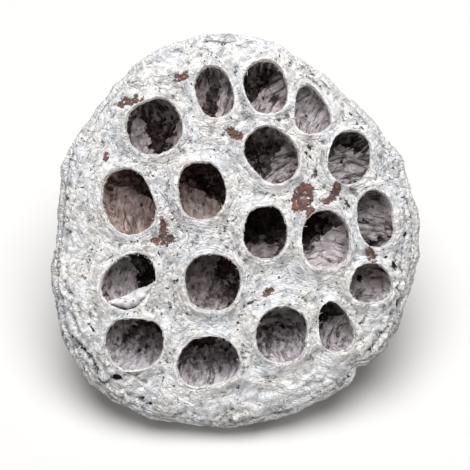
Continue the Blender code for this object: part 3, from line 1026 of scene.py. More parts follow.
def husk_relief_tree():
    """Raises the husk's wrinkles, streaks and grain, and notes where it is hollow, for the painted shade in
    the hollows.
    """
    tree, given = geometry_tree("husk_relief", *RELIEF)
    position = position_of(tree)
    where = scaled(position, 1.0 / MM)
    gap, along, edge, depth, border = (
        named(tree, name) for name in ("gap", "along", "edge", "depth", "border"))
    fibre = named(tree, "fibre", "FLOAT_VECTOR")
    in_pit = between(depth, 0.0, 0.14)
    on_funnel = between(along, 0.02, 0.22)
    on_face = product(between(gap, -0.2, 0.4), between(along, 0.0, 0.12, 1.0, 0.0))

    # The face: netted hills, sharp little folds and fine wrinkles round the mouths.
    rough = maths("MULTIPLY_ADD", rolled_border(gap, edge, border, where), -0.75, 1.0)
    web = product(centred(noise(where, 6.5, 3.0)), given["Web"])
    valleys = product(between(gap, 0.7, 3.4), given["Valleys"], -1.0)
    crumple = maths("SUBTRACT", ridges(where, 3.2, 3.0, 0.5, 1.0), 0.4)
    uneven = between(noise(where, 7.0), 0.36, 0.62, 0.25, 1.0)
    crumple = product(crumple, uneven, rough, given["Crumple"])
    wrinkles = maths("SUBTRACT", ridges(fibre, 1.25, 2.0, 0.6, 0.5), 0.4)
    wrinkles = product(wrinkles, rough, given["Wrinkles"])
    wobble = product(noise(where, 3.0), 2.6)
    rings = maths("SINE", product(total(gap, wobble), TURN / 0.95))
    near_mouth = maths("EXPONENT", product(maths("MAXIMUM", gap, 0.0), -0.45))
    patchy = between(noise(where, 4.0, 1.0), 0.40, 0.62)
    rings = product(rings, near_mouth, patchy, given["Ring wrinkles"])
    face = product(total(web, valleys, crumple, wrinkles, rings), on_face)

    # The margin: folds along it, the groove behind the rolled border, and crumbling.
    wobble = product(noise(where, 6.0, 3.0, 0.6), 9.0)
    folds = maths("SINE", product(total(edge, wobble), TURN / 2.1))
    near_edge = product(between(edge, 7.0, 1.0), between(edge, -9.0, -4.0))
    folds = product(folds, near_edge, named(tree, "crinkle"), given["Margin folds"])
    wobble = product(noise(where, 9.0, 3.0, 0.6), 9.0)
    off_groove = product(total(edge, wobble, -11.0), 1.0 / 1.9)
    groove = maths("EXPONENT", product(maths("POWER", off_groove, 2.0), -1.0))
    broken = between(noise(where, 8.0, 1.0), 0.38, 0.60, 0.25, 1.0)
    groove = product(groove, broken, border, given["Border groove"], -1.0)
    x, y, _ = add_node(tree, "ShaderNodeSeparateXYZ", (where,)).outputs
    drawn = add_node(tree, "ShaderNodeCombineXYZ", (edge, product(x, 0.20), product(y, 0.20))).outputs[0]
    drape = product(ridges(drawn, 3.4, 3.0, 0.5, 0.7), between(edge, 13.0, 7.0), between(edge, -6.0, -1.0),
                    border, given["Drape"])
    at_rim = product(between(edge, 3.0, 0.8), between(edge, -7.0, -3.0))
    crumbling = maths("SUBTRACT", ridges(where, 2.0, 4.0, 0.62, 0.8), 0.45)
    crumbling = product(crumbling, at_rim, given["Crumbling"])

    # The funnel's fibres, the lumps in the pits, the grain all over, and the chips.
    streaks = product(ridges(fibre, 1.9, 3.0, 0.6, 0.25), given["Streaks"], on_funnel)
    lining = product(centred(noise(fibre, 2.4, 4.0, 0.62, 0.6)), given["Lining"], in_pit)
    grit = product(centred(noise(where, 0.85, 3.0, 0.7)), given["Grain"])
    ragged = centred(noise(where, 1.4, 3.0), 0.8)
    chip = between(total(named(tree, "chip"), ragged), -0.25, 0.25, 1.0, 0.0)
    speck = between(named(tree, "speck"), -0.3, 0.15, 1.0, 0.0)
    sunk = maths("MAXIMUM", chip, product(speck, 3.0))
    sunk = product(sunk, product(given["Chip depth"], -1.0))

    # Moved along the normals, and pressed flat where the pod lies on the ground.
    relief = total(face, folds, groove, drape, crumbling, streaks, lining, grit, sunk)
    relief = product(relief, between(along, 1.3, 1.8, 1.0, 0.0), MM)
    normal = add_node(tree, "GeometryNodeInputNormal").outputs[0]
    raised = add_node(tree, "GeometryNodeSetPosition",
                      {"Geometry": given["Geometry"], "Offset": scaled(normal, relief)}).outputs[0]
    x, y, z = add_node(tree, "ShaderNodeSeparateXYZ", (position,)).outputs
    above = add_node(tree, "ShaderNodeCombineXYZ", (x, y, maths("MAXIMUM", z, 0.0))).outputs[0]
    pressed = add_node(tree, "GeometryNodeSetPosition", {"Geometry": raised, "Position": above}).outputs[0]
    blurred = add_node(tree, "GeometryNodeBlurAttribute", {"Value": position, "Iterations": 8},
                       data_type="FLOAT_VECTOR").outputs[0]
    towards = vector_maths("SUBTRACT", blurred, position)
    # How hollow the husk is here, which the husk's finish darkens as painted shade.
    hollow = product(vector_maths("DOT_PRODUCT", towards, normal), 1.0 / MM)
    stored = add_node(tree, "GeometryNodeStoreNamedAttribute",
                      {"Geometry": pressed, "Name": "hollow", "Value": hollow},
                      data_type="FLOAT", domain="POINT")
    return finish_tree(tree, stored.outputs[0], given)


def random_number(tree, low, high, seed):
    return add_node(tree, "FunctionNodeRandomValue", {2: low, 3: high, 8: seed}, data_type="FLOAT").outputs[1]


def scatter(tree, given, density, shape, seed, tilt):
    """Puts the shape at random on the given surface, turned and sized at random, as real meshes."""
    spread = add_node(tree, "GeometryNodeDistributePointsOnFaces",
                      {"Mesh": given["Geometry"], "Density": density, "Seed": seed})
    lean = [random_number(tree, -angle, angle, seed + step) for step, angle in ((1, tilt), (2, tilt))]
    lean = add_node(tree, "ShaderNodeCombineXYZ", (*lean, random_number(tree, 0.0, TURN, seed + 3)))
    turned = add_node(tree, "FunctionNodeRotateRotation",
                      {"Rotation": spread.outputs["Rotation"], "Rotate By": lean.outputs[0]},
                      rotation_space="LOCAL")
    size = random_number(tree, given["Smallest"], given["Largest"], seed + 4)
    size = add_node(tree, "ShaderNodeCombineXYZ", (size, product(size, 0.7), product(size, 0.6)))
    placed = add_node(tree, "GeometryNodeInstanceOnPoints",
                      {"Points": spread.outputs["Points"], "Instance": shape, "Rotation": turned.outputs[0],
                       "Scale": size.outputs[0]})
    return add_node(tree, "GeometryNodeRealizeInstances", (placed.outputs[0],)).outputs[0]


def roughen(tree, geometry, length, height):
    """Moves every point by noise of that length, in millimetres."""
    where = scaled(position_of(tree), 1.0 / MM / length)
    cloud = add_node(tree, "ShaderNodeTexNoise", {"Vector": where, "Scale": 1.0, "Detail": 2.0}).outputs
    off = scaled(vector_maths("SUBTRACT", cloud["Color"], (0.5, 0.5, 0.5)), 2.0 * height * MM)
    return add_node(tree, "GeometryNodeSetPosition", {"Geometry": geometry, "Offset": off}).outputs[0]


def bits_tree(name, density_of, shape_of, seed, tilt, rough):
    """A tree that strews small bits on the husk. Sizes are in metres and densities per square metre."""
    tree, given = geometry_tree(name, "Density", "Smallest", "Largest")
    density = product(density_of(tree), given["Density"])
    bits = scatter(tree, given, density, shape_of(tree), seed, tilt)
    return finish_tree(tree, roughen(tree, bits, *rough), given)


def crumb_shape(tree):
    return add_node(tree, "GeometryNodeMeshIcoSphere", {"Radius": 1.0, "Subdivisions": 1}).outputs["Mesh"]


def flake_shape(tree):
    inputs = {"Vertices": 8, "Side Segments": 1, "Fill Segments": 1, "Radius": 1.0, "Depth": 0.30}
    return add_node(tree, "GeometryNodeMeshCylinder", inputs, fill_type="NGON").outputs["Mesh"]


def off_the_ground(tree):
    """0 where the husk is so low that a bit on it might reach the ground."""
    height = add_node(tree, "ShaderNodeSeparateXYZ", (position_of(tree),)).outputs[2]
    return between(height, 2.5 * MM, 3.5 * MM)


def outside_the_pits(tree):
    """In clusters on the face and at its rim, with none in the pits or down the funnel."""
    on_face = between(named(tree, "along"), 0.0, 0.12, 1.0, 0.0)
    clusters = between(noise(scaled(position_of(tree), 1.0 / MM), 5.0), 0.40, 0.60)
    return product(between(named(tree, "gap"), 0.1, 0.5), on_face, clusters, off_the_ground(tree))


def on_the_chips(tree):
    return between(named(tree, "chip"), -0.3, 0.35, 1.0, 0.0)


def torn_fibres_tree():
    """Short bent fibres that stand up from the mouths' edges and from the rim."""
    tree, given = geometry_tree("torn_fibres", "Density", "Smallest", "Largest", "Thickness")
    gap, along, edge = (named(tree, name) for name in ("gap", "along", "edge"))
    at_mouths = product(between(gap, -0.5, -0.1), between(gap, 0.1, 0.6, 1.0, 0.0))
    at_rim = product(between(edge, 1.6, 0.4), between(along, 0.02, 0.10, 1.0, 0.0))
    share = maths("MAXIMUM", at_mouths, product(at_rim, 0.6))
    density = product(share, given["Density"], off_the_ground(tree))
    bend = {"Resolution": 5, "Start": (-1.0, 0.0, -0.12), "Middle": (0.0, 0.25, 0.55),
            "End": (1.0, -0.15, 0.05)}
    fibre = add_node(tree, "GeometryNodeCurveQuadraticBezier", bend).outputs[0]
    curves = scatter(tree, given, density, fibre, 71, 0.55)
    ring = add_node(tree, "GeometryNodeCurvePrimitiveCircle", {"Resolution": 4, "Radius": given["Thickness"]})
    solid = add_node(tree, "GeometryNodeCurveToMesh",
                     {"Curve": curves, "Profile Curve": ring.outputs[0], "Fill Caps": True})
    return finish_tree(tree, solid.outputs[0], given)


# Finishes


def limewash_cover_group(name):
    """How thickly the limewash lies, 0 to 1: rubbed and speckled, with painted shade that greys it in the
    hollows.
    """
    tree, given = new_tree(name, "Shader", {"Place": "Vector", "Base": 1.0, "Hollow": 0.0, "Patch": 3.0,
                                            "Speckle": 0.3, "Hollow bite": 3.0},
                           {"Cover": "Float", "Mottle": "Float"})
    place = given["Place"]
    patches = product(centred(noise(place, 3.4, 4.0, 0.58, 0.6), 0.5), given["Patch"])
    # Painted shade: Hollow times Hollow bite lowers the cover where the surface is hollow, so the hollows
    # turn grey.
    bite = product(given["Hollow"], given["Hollow bite"], -1.0)
    specks = between(noise(place, 0.6, 3.0, 0.7, 0.3), 0.56, 0.68)
    clusters = between(noise(place, 2.6, 3.0, 0.6), 0.42, 0.62)
    specks = product(specks, clusters, given["Speckle"], -1.0)
    blotches = between(noise(place, 1.7, 4.0, 0.6, 0.4), 0.57, 0.66)
    zones = between(noise(place, 7.0), 0.44, 0.58)
    blotches = product(blotches, zones, given["Speckle"], -1.5)
    pinholes = product(between(noise(place, 1.0), 0.67, 0.71), -1.0)
    cover = total(given["Base"], patches, bite, specks, blotches, pinholes)
    mottle = noise(place, 2.0, 4.0, 0.55, 0.9)
    add_node(tree, "NodeGroupOutput", (add_node(tree, "ShaderNodeClamp", (cover,)).outputs[0], mottle))
    return tree


def crack_lines_group(name):
    """Thin wandering lines, in loose clusters: 1 along each line."""
    tree, given = new_tree(name, "Shader", {"Way": "Vector", "Length": 3.0, "Width": 0.08}, {"Line": "Float"})
    way = scaled(given["Way"], maths("DIVIDE", 1.0, given["Length"]))
    off = maths("ABSOLUTE", centred(noise(way, 1.0, 4.0, 0.62, 0.8)))
    clusters = between(noise(way, 2.2), 0.46, 0.60)
    add_node(tree, "NodeGroupOutput", (product(between(off, 0.0, given["Width"], 1.0, 0.0), clusters),))
    return tree


def fine_grain_group(name):
    """The height of what is too fine to model: chalky grit, crumpled paper and short fibres."""
    tree, given = new_tree(name, "Shader", {"Place": "Vector", "Fibre way": "Vector", "Fibre": 0.5},
                           {"Height": "Float"})
    grit = product(noise(given["Place"], 0.40, 3.0, 0.65), 0.28)
    paper = product(ridges(given["Place"], 2.2, 3.0, 0.55, 1.0), 0.50)
    fibres = product(ridges(given["Fibre way"], 1.0, 3.0, 0.6, 0.6), given["Fibre"])
    add_node(tree, "NodeGroupOutput", (total(grit, paper, fibres),))
    return tree


def bare_husk_group(name):
    """The colour of bare husk: near-black to brown, redder where it was skinned."""
    tree, given = new_tree(name, "Shader", {"Place": "Vector", "Red": 0.0, "Dark": "Color", "Brown": "Color",
                                            "Red brown": "Color"}, {"Color": "Color"})
    blotch = between(noise(given["Place"], 1.8, 5.0, 0.68, 0.8), 0.40, 0.62)
    reds = between(noise(given["Place"], 1.5, 3.0, 0.6), 0.35, 0.65)
    brown = mix_colours(product(reds, given["Red"]), given["Brown"], given["Red brown"])
    add_node(tree, "NodeGroupOutput", (mix_colours(blotch, given["Dark"], brown),))
    return tree


GROUP_MAKERS = {
    "limewash_cover": limewash_cover_group,
    "crack_lines": crack_lines_group,
    "fine_grain": fine_grain_group,
    "bare_husk_colour": bare_husk_group,
}


def use_group(name, **inputs):
    """Adds the shared group of that name, which is made when it is first used."""
    group = bpy.data.node_groups.get(name) or GROUP_MAKERS[name](name)
    sockets = {key.replace("_", " "): value for key, value in inputs.items()}
    return add_node(tree_of(*inputs.values()), "ShaderNodeGroup", sockets, node_tree=group).outputs


def place_in_mm(tree):
    return scaled(add_node(tree, "ShaderNodeTexCoord").outputs["Object"], 1.0 / MM)


def point_value(tree, name, output="Fac"):
    return add_node(tree, "ShaderNodeAttribute", attribute_name=name).outputs[output]


# hollow_shade_strength sets how strongly the hollows are greyed as painted shade.
def limewash(place, base, hollow, patch, speckle, hollow_shade_strength):
    return use_group("limewash_cover", Place=place, Base=base, Hollow=hollow, Patch=patch, Speckle=speckle,
                     Hollow_bite=hollow_shade_strength)


def crack_lines(way, length, width):
    return use_group("crack_lines", Way=way, Length=length, Width=width)["Line"]


def fine_grain(place, fibre_way, fibre):
    return use_group("fine_grain", Place=place, Fibre_way=fibre_way, Fibre=fibre)["Height"]


def bare_husk(place, red, *colours):
    dark, brown, red_brown = ((*colour, 1.0) for colour in colours)
    return use_group("bare_husk_colour", Place=place, Red=red, Dark=dark, Brown=brown,
                     Red_brown=red_brown)["Color"]


def new_material(name, colour, roughness, specular):
    material = bpy.data.materials.new(name)
    material.use_nodes = True
    shader = material.node_tree.nodes["Principled BSDF"]
    shader.inputs["Base Color"].default_value = (*colour, 1.0)
    shader.inputs["Roughness"].default_value = roughness
    shader.inputs["Specular IOR Level"].default_value = specular
    material.diffuse_color = (*colour, 1.0)
    return material, material.node_tree, shader


def coat(material, colour, height, depth):
    """Joins a colour and the height of its relief, depth millimetres in all, to the material's shader."""
    tree = material.node_tree
    shader = tree.nodes["Principled BSDF"]
    bump = add_node(tree, "ShaderNodeBump", {"Strength": 1.0, "Distance": depth * MM, "Height": height})
    tree.links.new(colour, shader.inputs["Base Color"])
    tree.links.new(bump.outputs[0], shader.inputs["Normal"])
    return material


def whitewashed_husk_material(name, colours):
    """One skin all over: white on the face and funnel, partly bare inside the pits."""
    material, tree, shader = new_material(name, colours.limewash, 0.92, 0.25)
    place = place_in_mm(tree)
    gap, depth, along, edge = (point_value(tree, key) for key in ("gap", "depth", "along", "edge"))
    hollow, pale, red, warm = (point_value(tree, key) for key in ("hollow", "pale", "red", "warm"))
    fibre = point_value(tree, "fibre", "Vector")
    in_pit = between(total(gap, centred(noise(place, 1.1, 4.0, 0.65), 0.75)), -1.05, -0.40, 1.0, 0.0)
    on_funnel = between(along, 0.04, 0.30)
    husk = bare_husk(place, red, colours.dark_husk, colours.brown_husk, colours.red_husk)

    # Limewash on the face, and drawn out along the funnel.
    lie = add_node(tree, "ShaderNodeMix", {0: on_funnel, 4: place, 5: fibre}, data_type="VECTOR").outputs[1]
    smooth = rolled_border(gap, edge, point_value(tree, "border"), place)
    # The 1.6 is how strongly the hollows are greyed as painted shade.
    face = limewash(lie, 0.97, hollow, 1.4, 0.45, 1.6)
    streak = between(ridges(fibre, 1.25, 4.0, 0.62, 0.3), 0.25, 0.80)
    bare = product(streak, between(noise(fibre, 5.0, 3.0, 0.6), 0.36, 0.60), on_funnel, 0.85)
    lines = maths("MAXIMUM", crack_lines(fibre, 3.4, 0.06), crack_lines(place, 4.4, 0.035))
    lines = product(lines, maths("SUBTRACT", 1.0, on_funnel),
                    between(noise(place, 9.0), 0.40, 0.60, 0.35, 1.0),
                    maths("MULTIPLY_ADD", smooth, -0.8, 1.0))
    cover = total(face["Cover"], product(bare, -1.0), product(lines, -0.26), product(smooth, 0.16))
    thin = mix_colours(between(face["Mottle"], 0.36, 0.64), colours.thin_limewash, colours.grey_limewash)
    thick = mix_colours(between(face["Mottle"], 0.38, 0.56), colours.grey_limewash, colours.limewash)
    skin = mix_colours(between(cover, 0.00, 0.36), husk, thin)
    skin = mix_colours(between(cover, 0.34, 0.80), skin, thick)
    # Paler lip colour painted along each mouth's edge: thicker limewash there, and a painted highlight on the
    # edge.
    rim = product(between(gap, -0.9, -0.25), between(gap, 0.45, 0.05))
    rim = product(rim, between(noise(place, 1.6, 3.0, 0.6), 0.36, 0.56, 0.25, 1.0))
    skin = mix_colours(rim, skin, colours.lip)
    hue = between(noise(place, 7.0), 0.38, 0.62)
    skin = multiply_colours(skin, mix_colours(hue, colours.cool, colours.cream))

    # What is left of the skin in the pits. It follows pale, which also carries painted light: the lit lower
    # walls paler and mauve, the shaded upper walls darker.
    worn = noise(fibre, 2.6, 5.0, 0.66, 0.8)
    torn = centred(noise(fibre, 1.0, 4.0, 0.7, 0.5), 0.45)
    kept = total(worn, torn, product(maths("SUBTRACT", pale, 0.5), 0.50))
    cracks = maths("MULTIPLY_ADD", crack_lines(fibre, 3.2, 0.12), -0.85, 1.0)
    film = product(between(kept, 0.46, 0.54), cracks)
    clouds = between(noise(fibre, 3.2, 5.0, 0.62, 0.6), 0.38, 0.62)
    tint = mix_colours(clouds, colours.lining_shade, colours.lining)
    low = between(total(kept, product(depth, -0.12)), 0.52, 0.68)
    tint = mix_colours(low, tint, colours.mauve)
    streaks = between(noise(fibre, 1.0, 3.0, 0.6, 0.2), 0.38, 0.58, 0.60, 0.0)
    tint = mix_colours(streaks, tint, colours.lining_shade)
    tint = mix_colours(warm, tint, multiply_colours(tint, colours.warmth))
    skin = mix_colours(in_pit, skin, mix_colours(film, husk, tint))

    # Chips, holes and dark specks.
    ragged = centred(noise(place, 1.2, 4.0, 0.65), 1.3)
    chip = between(total(point_value(tree, "chip"), ragged), 0.05, 0.25, 1.0, 0.0)
    chip = product(chip, between(noise(place, 0.8, 3.0, 0.6), 0.32, 0.44))
    fresh = bare_husk(place, 1.0, colours.brown_husk, colours.red_husk, colours.orange_husk)
    skin = mix_colours(chip, skin, fresh)
    ragged = centred(noise(place, 0.8, 3.0), 0.45)
    speck = between(total(point_value(tree, "speck"), ragged), -0.12, 0.10, 1.0, 0.0)
    skin = mix_colours(speck, skin, colours.dark_husk)

    tree.links.new(between(film, 0.0, 1.0, 0.90, 0.78), shader.inputs["Roughness"])
    step = product(between(cover, 0.1, 0.6), 0.5)
    height = total(fine_grain(place, fibre, 0.5), step, product(film, in_pit, 0.6), product(lines, -0.5))
    return coat(material, skin, height, 0.50)


def stem_pith_material(name, colours):
    material, tree, _ = new_material(name, colours.pith, 0.95, 0.2)
    place = place_in_mm(tree)
    cells = between(noise(place, 0.45, 4.0, 0.7), 0.35, 0.66)
    cover = between(limewash(place, 0.60, 0.0, 1.6, 0.7, 0.0)["Cover"], 0.3, 0.8)
    colour = mix_colours(cover, mix_colours(cells, colours.brown_husk, colours.pith), colours.limewash)
    return coat(material, colour, fine_grain(place, place, 0.4), 0.2)


def pit_film_material(name, colours):
    """Papery grey skin that is left inside the pits, with dark bands where it has split."""
    material, tree, _ = new_material(name, colours.lining, 0.80, 0.3)
    place = place_in_mm(tree)
    pale, bands, warm = (point_value(tree, key) for key in ("pale", "bands", "warm"))
    fibre = point_value(tree, "fibre", "Vector")
    cloud = between(noise(place, 2.2, 5.0, 0.62, 0.5), 0.36, 0.64)
    colour = mix_colours(cloud, colours.lining_shade, colours.lining)
    colour = mix_colours(pale, colour, mix_colours(cloud, colours.lining, colours.mauve))
    shade = between(noise(fibre, 0.7, 3.0, 0.6, 0.4), 0.38, 0.62, 0.55, 0.0)
    colour = mix_colours(shade, colour, colours.lining_shade)
    split = maths("MULTIPLY_ADD", bands, 0.16, noise(fibre, 1.5, 5.0, 0.66, 1.0))
    spots = between(noise(place, 0.9, 4.0, 0.7, 0.4), 0.60, 0.68)
    dark = maths("MAXIMUM", between(split, 0.56, 0.72), product(spots, 0.8))
    colour = mix_colours(product(dark, 0.93), colour, colours.dark_husk)
    colour = mix_colours(product(crack_lines(fibre, 2.4, 0.10), 0.6), colour, colours.brown_husk)
    colour = mix_colours(warm, colour, multiply_colours(colour, colours.warmth))
    return coat(material, colour, total(fine_grain(place, fibre, 0.5), product(dark, -0.8)), 0.25)


def limewash_chalk_material(name, colours):
    """Thick limewash: crumbs, flakes, torn fibres and the folded skin."""
    material, tree, _ = new_material(name, colours.limewash, 0.95, 0.2)
    place = place_in_mm(tree)
    face = limewash(place, 0.95, 0.0, 0.9, 0.4, 0.0)
    thick = mix_colours(between(face["Mottle"], 0.3, 0.7), colours.grey_limewash, colours.limewash)
    colour = mix_colours(between(face["Cover"], 0.3, 0.8), colours.thin_limewash, thick)
    return coat(material, colour, fine_grain(place, place, 0.2), 0.2)


def bare_shred_material(name, colours):
    """Torn bits of bare husk at the chips."""
    material, tree, _ = new_material(name, colours.red_husk, 0.85, 0.3)
    place = place_in_mm(tree)
    fresh = bare_husk(place, 1.0, colours.brown_husk, colours.red_husk, colours.orange_husk)
    return coat(material, fresh, fine_grain(place, place, 0.5), 0.2)


FINISH_MAKERS = {
    "whitewashed_husk": whitewashed_husk_material,
    "stem_pith": stem_pith_material,
    "pit_film": pit_film_material,
    "limewash_chalk": limewash_chalk_material,
    "bare_shred": bare_shred_material,
}


def finish(name):
    """The material of that name, which is made when it is first asked for."""
    made = bpy.data.materials.get(name)
    return made or FINISH_MAKERS[name](name, bpy.context.scene.lotus_pod.colours)


# Settings


def length_setting(name, description, default):
    return FloatProperty(name=name, description=description, default=default * MM, min=0.0, precision=5,
                         unit="LENGTH")


def colour_setting(name, description, default):
    return FloatVectorProperty(name=name, description=description, default=default, size=3, min=0.0, max=1.0,
                               subtype="COLOR")


class ReliefSettings(bpy.types.PropertyGroup):
    """Heights of the husk's relief."""

    web: length_setting("Web", "Height of the netted hills between the pits", 0.55)
    valleys: length_setting("Valleys", "How far the face sinks away from the mouths", 0.45)
    crumple: length_setting("Crumple", "Height of the sharp little folds on the face", 0.46)
    wrinkles: length_setting("Wrinkles", "Height of the fine wrinkles round the mouths", 0.24)
    ring_wrinkles: length_setting("Ring wrinkles", "Height of the rings round each mouth", 0.15)
    margin_folds: length_setting("Margin folds", "Height of the folds along the margin", 0.48)
    border_groove: length_setting("Border groove", "Depth of the groove behind the lower border", 1.20)
    drape: length_setting("Drape", "Height of the long soft folds along the lower border", 0.60)
    crumbling: length_setting("Crumbling", "Height of the crumbly bits along the rim", 0.22)
    streaks: length_setting("Streaks", "Height of the fibres that run down the funnel", 0.42)
    lining: length_setting("Lining", "Height of the lumps inside the pits", 0.50)
    grain: length_setting("Grain", "Height of the limewash's grain", 0.06)
    chip_depth: length_setting("Chip depth", "How deep the limewash is chipped", 0.20)


class ColourSettings(bpy.types.PropertyGroup):
    """Colours of the husk and of what is on it."""

    limewash: colour_setting("Limewash", "Thick limewash", (0.87, 0.87, 0.875))
    # Lip: paler limewash along the mouths' edges, which also serves as a painted highlight there.
    lip: colour_setting("Lip", "Thick limewash on the edges of the mouths", (0.94, 0.93, 0.92))
    grey_limewash: colour_setting("Grey limewash", "Limewash rubbed thinner", (0.58, 0.58, 0.595))
    cool: colour_setting("Cool cast", "What half of the limewash is multiplied by", (0.965, 0.98, 1.0))
    cream: colour_setting("Cream cast", "What the other half is multiplied by", (1.0, 0.985, 0.955))
    thin_limewash: colour_setting("Thin limewash", "Limewash that shows the husk", (0.25, 0.245, 0.25))
    dark_husk: colour_setting("Dark husk", "Hollows of the bare husk", (0.014, 0.010, 0.010))
    brown_husk: colour_setting("Brown husk", "Crests of the bare husk", (0.13, 0.095, 0.092))
    red_husk: colour_setting("Red husk", "Husk under a fresh chip", (0.165, 0.078, 0.060))
    orange_husk: colour_setting("Orange husk", "Palest part of a chip", (0.30, 0.150, 0.108))
    lining: colour_setting("Lining", "Skin left in the pits", (0.57, 0.535, 0.55))
    lining_shade: colour_setting("Lining shade", "Darker clouds of that skin", (0.235, 0.205, 0.21))
    mauve: colour_setting("Mauve lining", "Limewashed skin low in the pits", (0.78, 0.745, 0.79))
    warmth: colour_setting("Warmth", "What the redder linings are multiplied by", (1.0, 0.82, 0.72))
    pith: colour_setting("Pith", "Cut end of the stem", (0.66, 0.63, 0.57))


def density_setting(name, description, per_square_mm):
    return FloatProperty(name=name, description=description + ", in each square metre",
                         default=per_square_mm / MM**2, min=0.0)


class BitsSettings(bpy.types.PropertyGroup):
    """How many small loose bits there are, and how large."""

    crumb_density: density_setting("Crumbs", "Number of crumbs of limewash", 0.14)
    smallest_crumb: length_setting("Smallest crumb", "Half the width of the smallest crumb", 0.12)
    largest_crumb: length_setting("Largest crumb", "Half the width of the largest crumb", 0.30)
    flake_density: density_setting("Flakes", "Number of flakes of limewash", 0.035)
    smallest_flake: length_setting("Smallest flake", "Half the width of the smallest flake", 0.35)
    largest_flake: length_setting("Largest flake", "Half the width of the largest flake", 0.95)
    shred_density: density_setting("Shreds", "Number of shreds of bare husk", 0.9)
    smallest_shred: length_setting("Smallest shred", "Half the width of the smallest shred", 0.20)
    largest_shred: length_setting("Largest shred", "Half the width of the largest shred", 0.60)
    fibre_density: density_setting("Fibres", "Number of torn fibres", 0.9)
    shortest_fibre: length_setting("Shortest fibre", "Half the length of the shortest fibre", 0.30)
    longest_fibre: length_setting("Longest fibre", "Half the length of the longest fibre", 0.95)
    fibre_thickness: length_setting("Fibre thickness", "Half the thickness of a fibre", 0.055)


class StageSettings(bpy.types.PropertyGroup):
    """Camera, floor and light."""

    camera_height: FloatProperty(name="Camera elevation", description="Angle of the camera above the floor",
                                 default=math.radians(52), subtype="ANGLE")
    camera_distance: FloatProperty(name="Camera distance", description="From the camera to the pod's face",
                                   default=0.55, min=0.1, unit="LENGTH")
    view_width: FloatProperty(name="View width", description="Width of what the camera sees at the pod",
                              default=0.102, min=0.02, unit="LENGTH")
    floor_colour: colour_setting("Floor", "Plain pale floor", (0.74, 0.74, 0.735))
    key_power: FloatProperty(name="Key light", description="Power of the large soft light overhead",
                             default=9.9, min=0.0, unit="POWER")
    fill_power: FloatProperty(name="Fill light", description="Power of the weak light from the camera's side",
                              default=0.25, min=0.0, unit="POWER")
    sky: FloatProperty(name="Sky", description="Strength of the even light from all sides", default=0.22,
                       min=0.0)


class PodSettings(bpy.types.PropertyGroup):
    """All settings of the pod."""

    relief: PointerProperty(type=ReliefSettings)
    colours: PointerProperty(type=ColourSettings)
    bits: PointerProperty(type=BitsSettings)
    stage: PointerProperty(type=StageSettings)


# Pieces


def new_object(name, data):
    obj = bpy.data.objects.new(name, data)
    bpy.context.scene.collection.objects.link(obj)
    return obj


def finish_piece(obj):
    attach(obj, "root")
    return obj


class LOTUS_OT_husk(bpy.types.Operator):
    """Makes the whole husk: face, pits, funnel and stem stub, with its relief"""

    bl_idname = "lotus.husk"
    bl_label = "Husk"

    def execute(self, context):
        skin = Skin()
        edge, mouths = add_face(skin)
        for pit, lining, mouth in zip(PITS, LININGS, mouths):
            add_pit(skin, pit, lining, mouth)
        add_stem(skin, add_funnel(skin, edge))
        husk = new_object("husk", skin.mesh("husk"))
        point_outwards(husk.data)
        relief = context.scene.lotus_pod.relief
        heights = {name: getattr(relief, name.lower().replace(" ", "_")) / MM for name in RELIEF}
        grow(husk, husk_relief_tree(), {**heights, "Material": finish("whitewashed_husk")})
        finish_piece(husk)
        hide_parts(NODE)
        return {"FINISHED"}


def strew(name, tree, slot, material, density, smallest, largest, **more):
    """Grows small bits on a copy of the husk, and makes them the piece of that name."""
    piece = new_object(name, bpy.data.objects["husk"].data.copy())
    grow(piece, tree, {"Density": density, "Smallest": smallest, "Largest": largest,
                       "Material": finish(material), **more})
    finish_piece(piece)


def add_piece(mesh, material):
    mesh.materials.append(material)
    return finish_piece(new_object(mesh.name, mesh))


class LOTUS_OT_films(bpy.types.Operator):
    """Hangs ragged papery skin in the pits"""

    bl_idname = "lotus.films"
    bl_label = "Pit films"

    def execute(self, context):
        add_piece(films_mesh(), finish("pit_film"))
        return {"FINISHED"}


class LOTUS_OT_fold(bpy.types.Operator):
    """Hangs the torn white flap of skin inside the lower edge of one pit"""

    bl_idname = "lotus.fold"
    bl_label = "Folded skin"

    def execute(self, context):
        add_piece(fold_mesh(), finish("limewash_chalk"))
        return {"FINISHED"}


class LOTUS_OT_stem_end(bpy.types.Operator):
    """Sets the pith with its air channels into the cut end of the stem"""

    bl_idname = "lotus.stem_end"
    bl_label = "Cut stem end"

    def execute(self, context):
        add_piece(stem_end_mesh(), finish("stem_pith"))
        return {"FINISHED"}


class LOTUS_OT_crumbs(bpy.types.Operator):
    """Strews crumbs and flakes of limewash over the face"""

    bl_idname = "lotus.crumbs"
    bl_label = "Crumbs and flakes"

    def execute(self, context):
        bits = context.scene.lotus_pod.bits
        crumbs = bits_tree("crumbs", outside_the_pits, crumb_shape, 21, 3.0, (0.5, 0.10))
        strew("crumbs", crumbs, "limewashed_husk", "limewash_chalk",
              bits.crumb_density, bits.smallest_crumb, bits.largest_crumb)
        flakes = bits_tree("flakes", outside_the_pits, flake_shape, 41, 0.22, (1.1, 0.28))
        strew("flakes", flakes, "limewashed_husk", "limewash_chalk",
              bits.flake_density, bits.smallest_flake, bits.largest_flake)
        return {"FINISHED"}


class LOTUS_OT_shreds(bpy.types.Operator):
    """Strews torn bits of bare husk over the chips"""

    bl_idname = "lotus.shreds"
    bl_label = "Bare shreds"

    def execute(self, context):
        bits = context.scene.lotus_pod.bits
        shreds = bits_tree("bare_shreds", on_the_chips, flake_shape, 61, 0.35, (0.9, 0.25))
        strew("bare_shreds", shreds, "bare_husk", "bare_shred",
              bits.shred_density, bits.smallest_shred, bits.largest_shred)
        return {"FINISHED"}


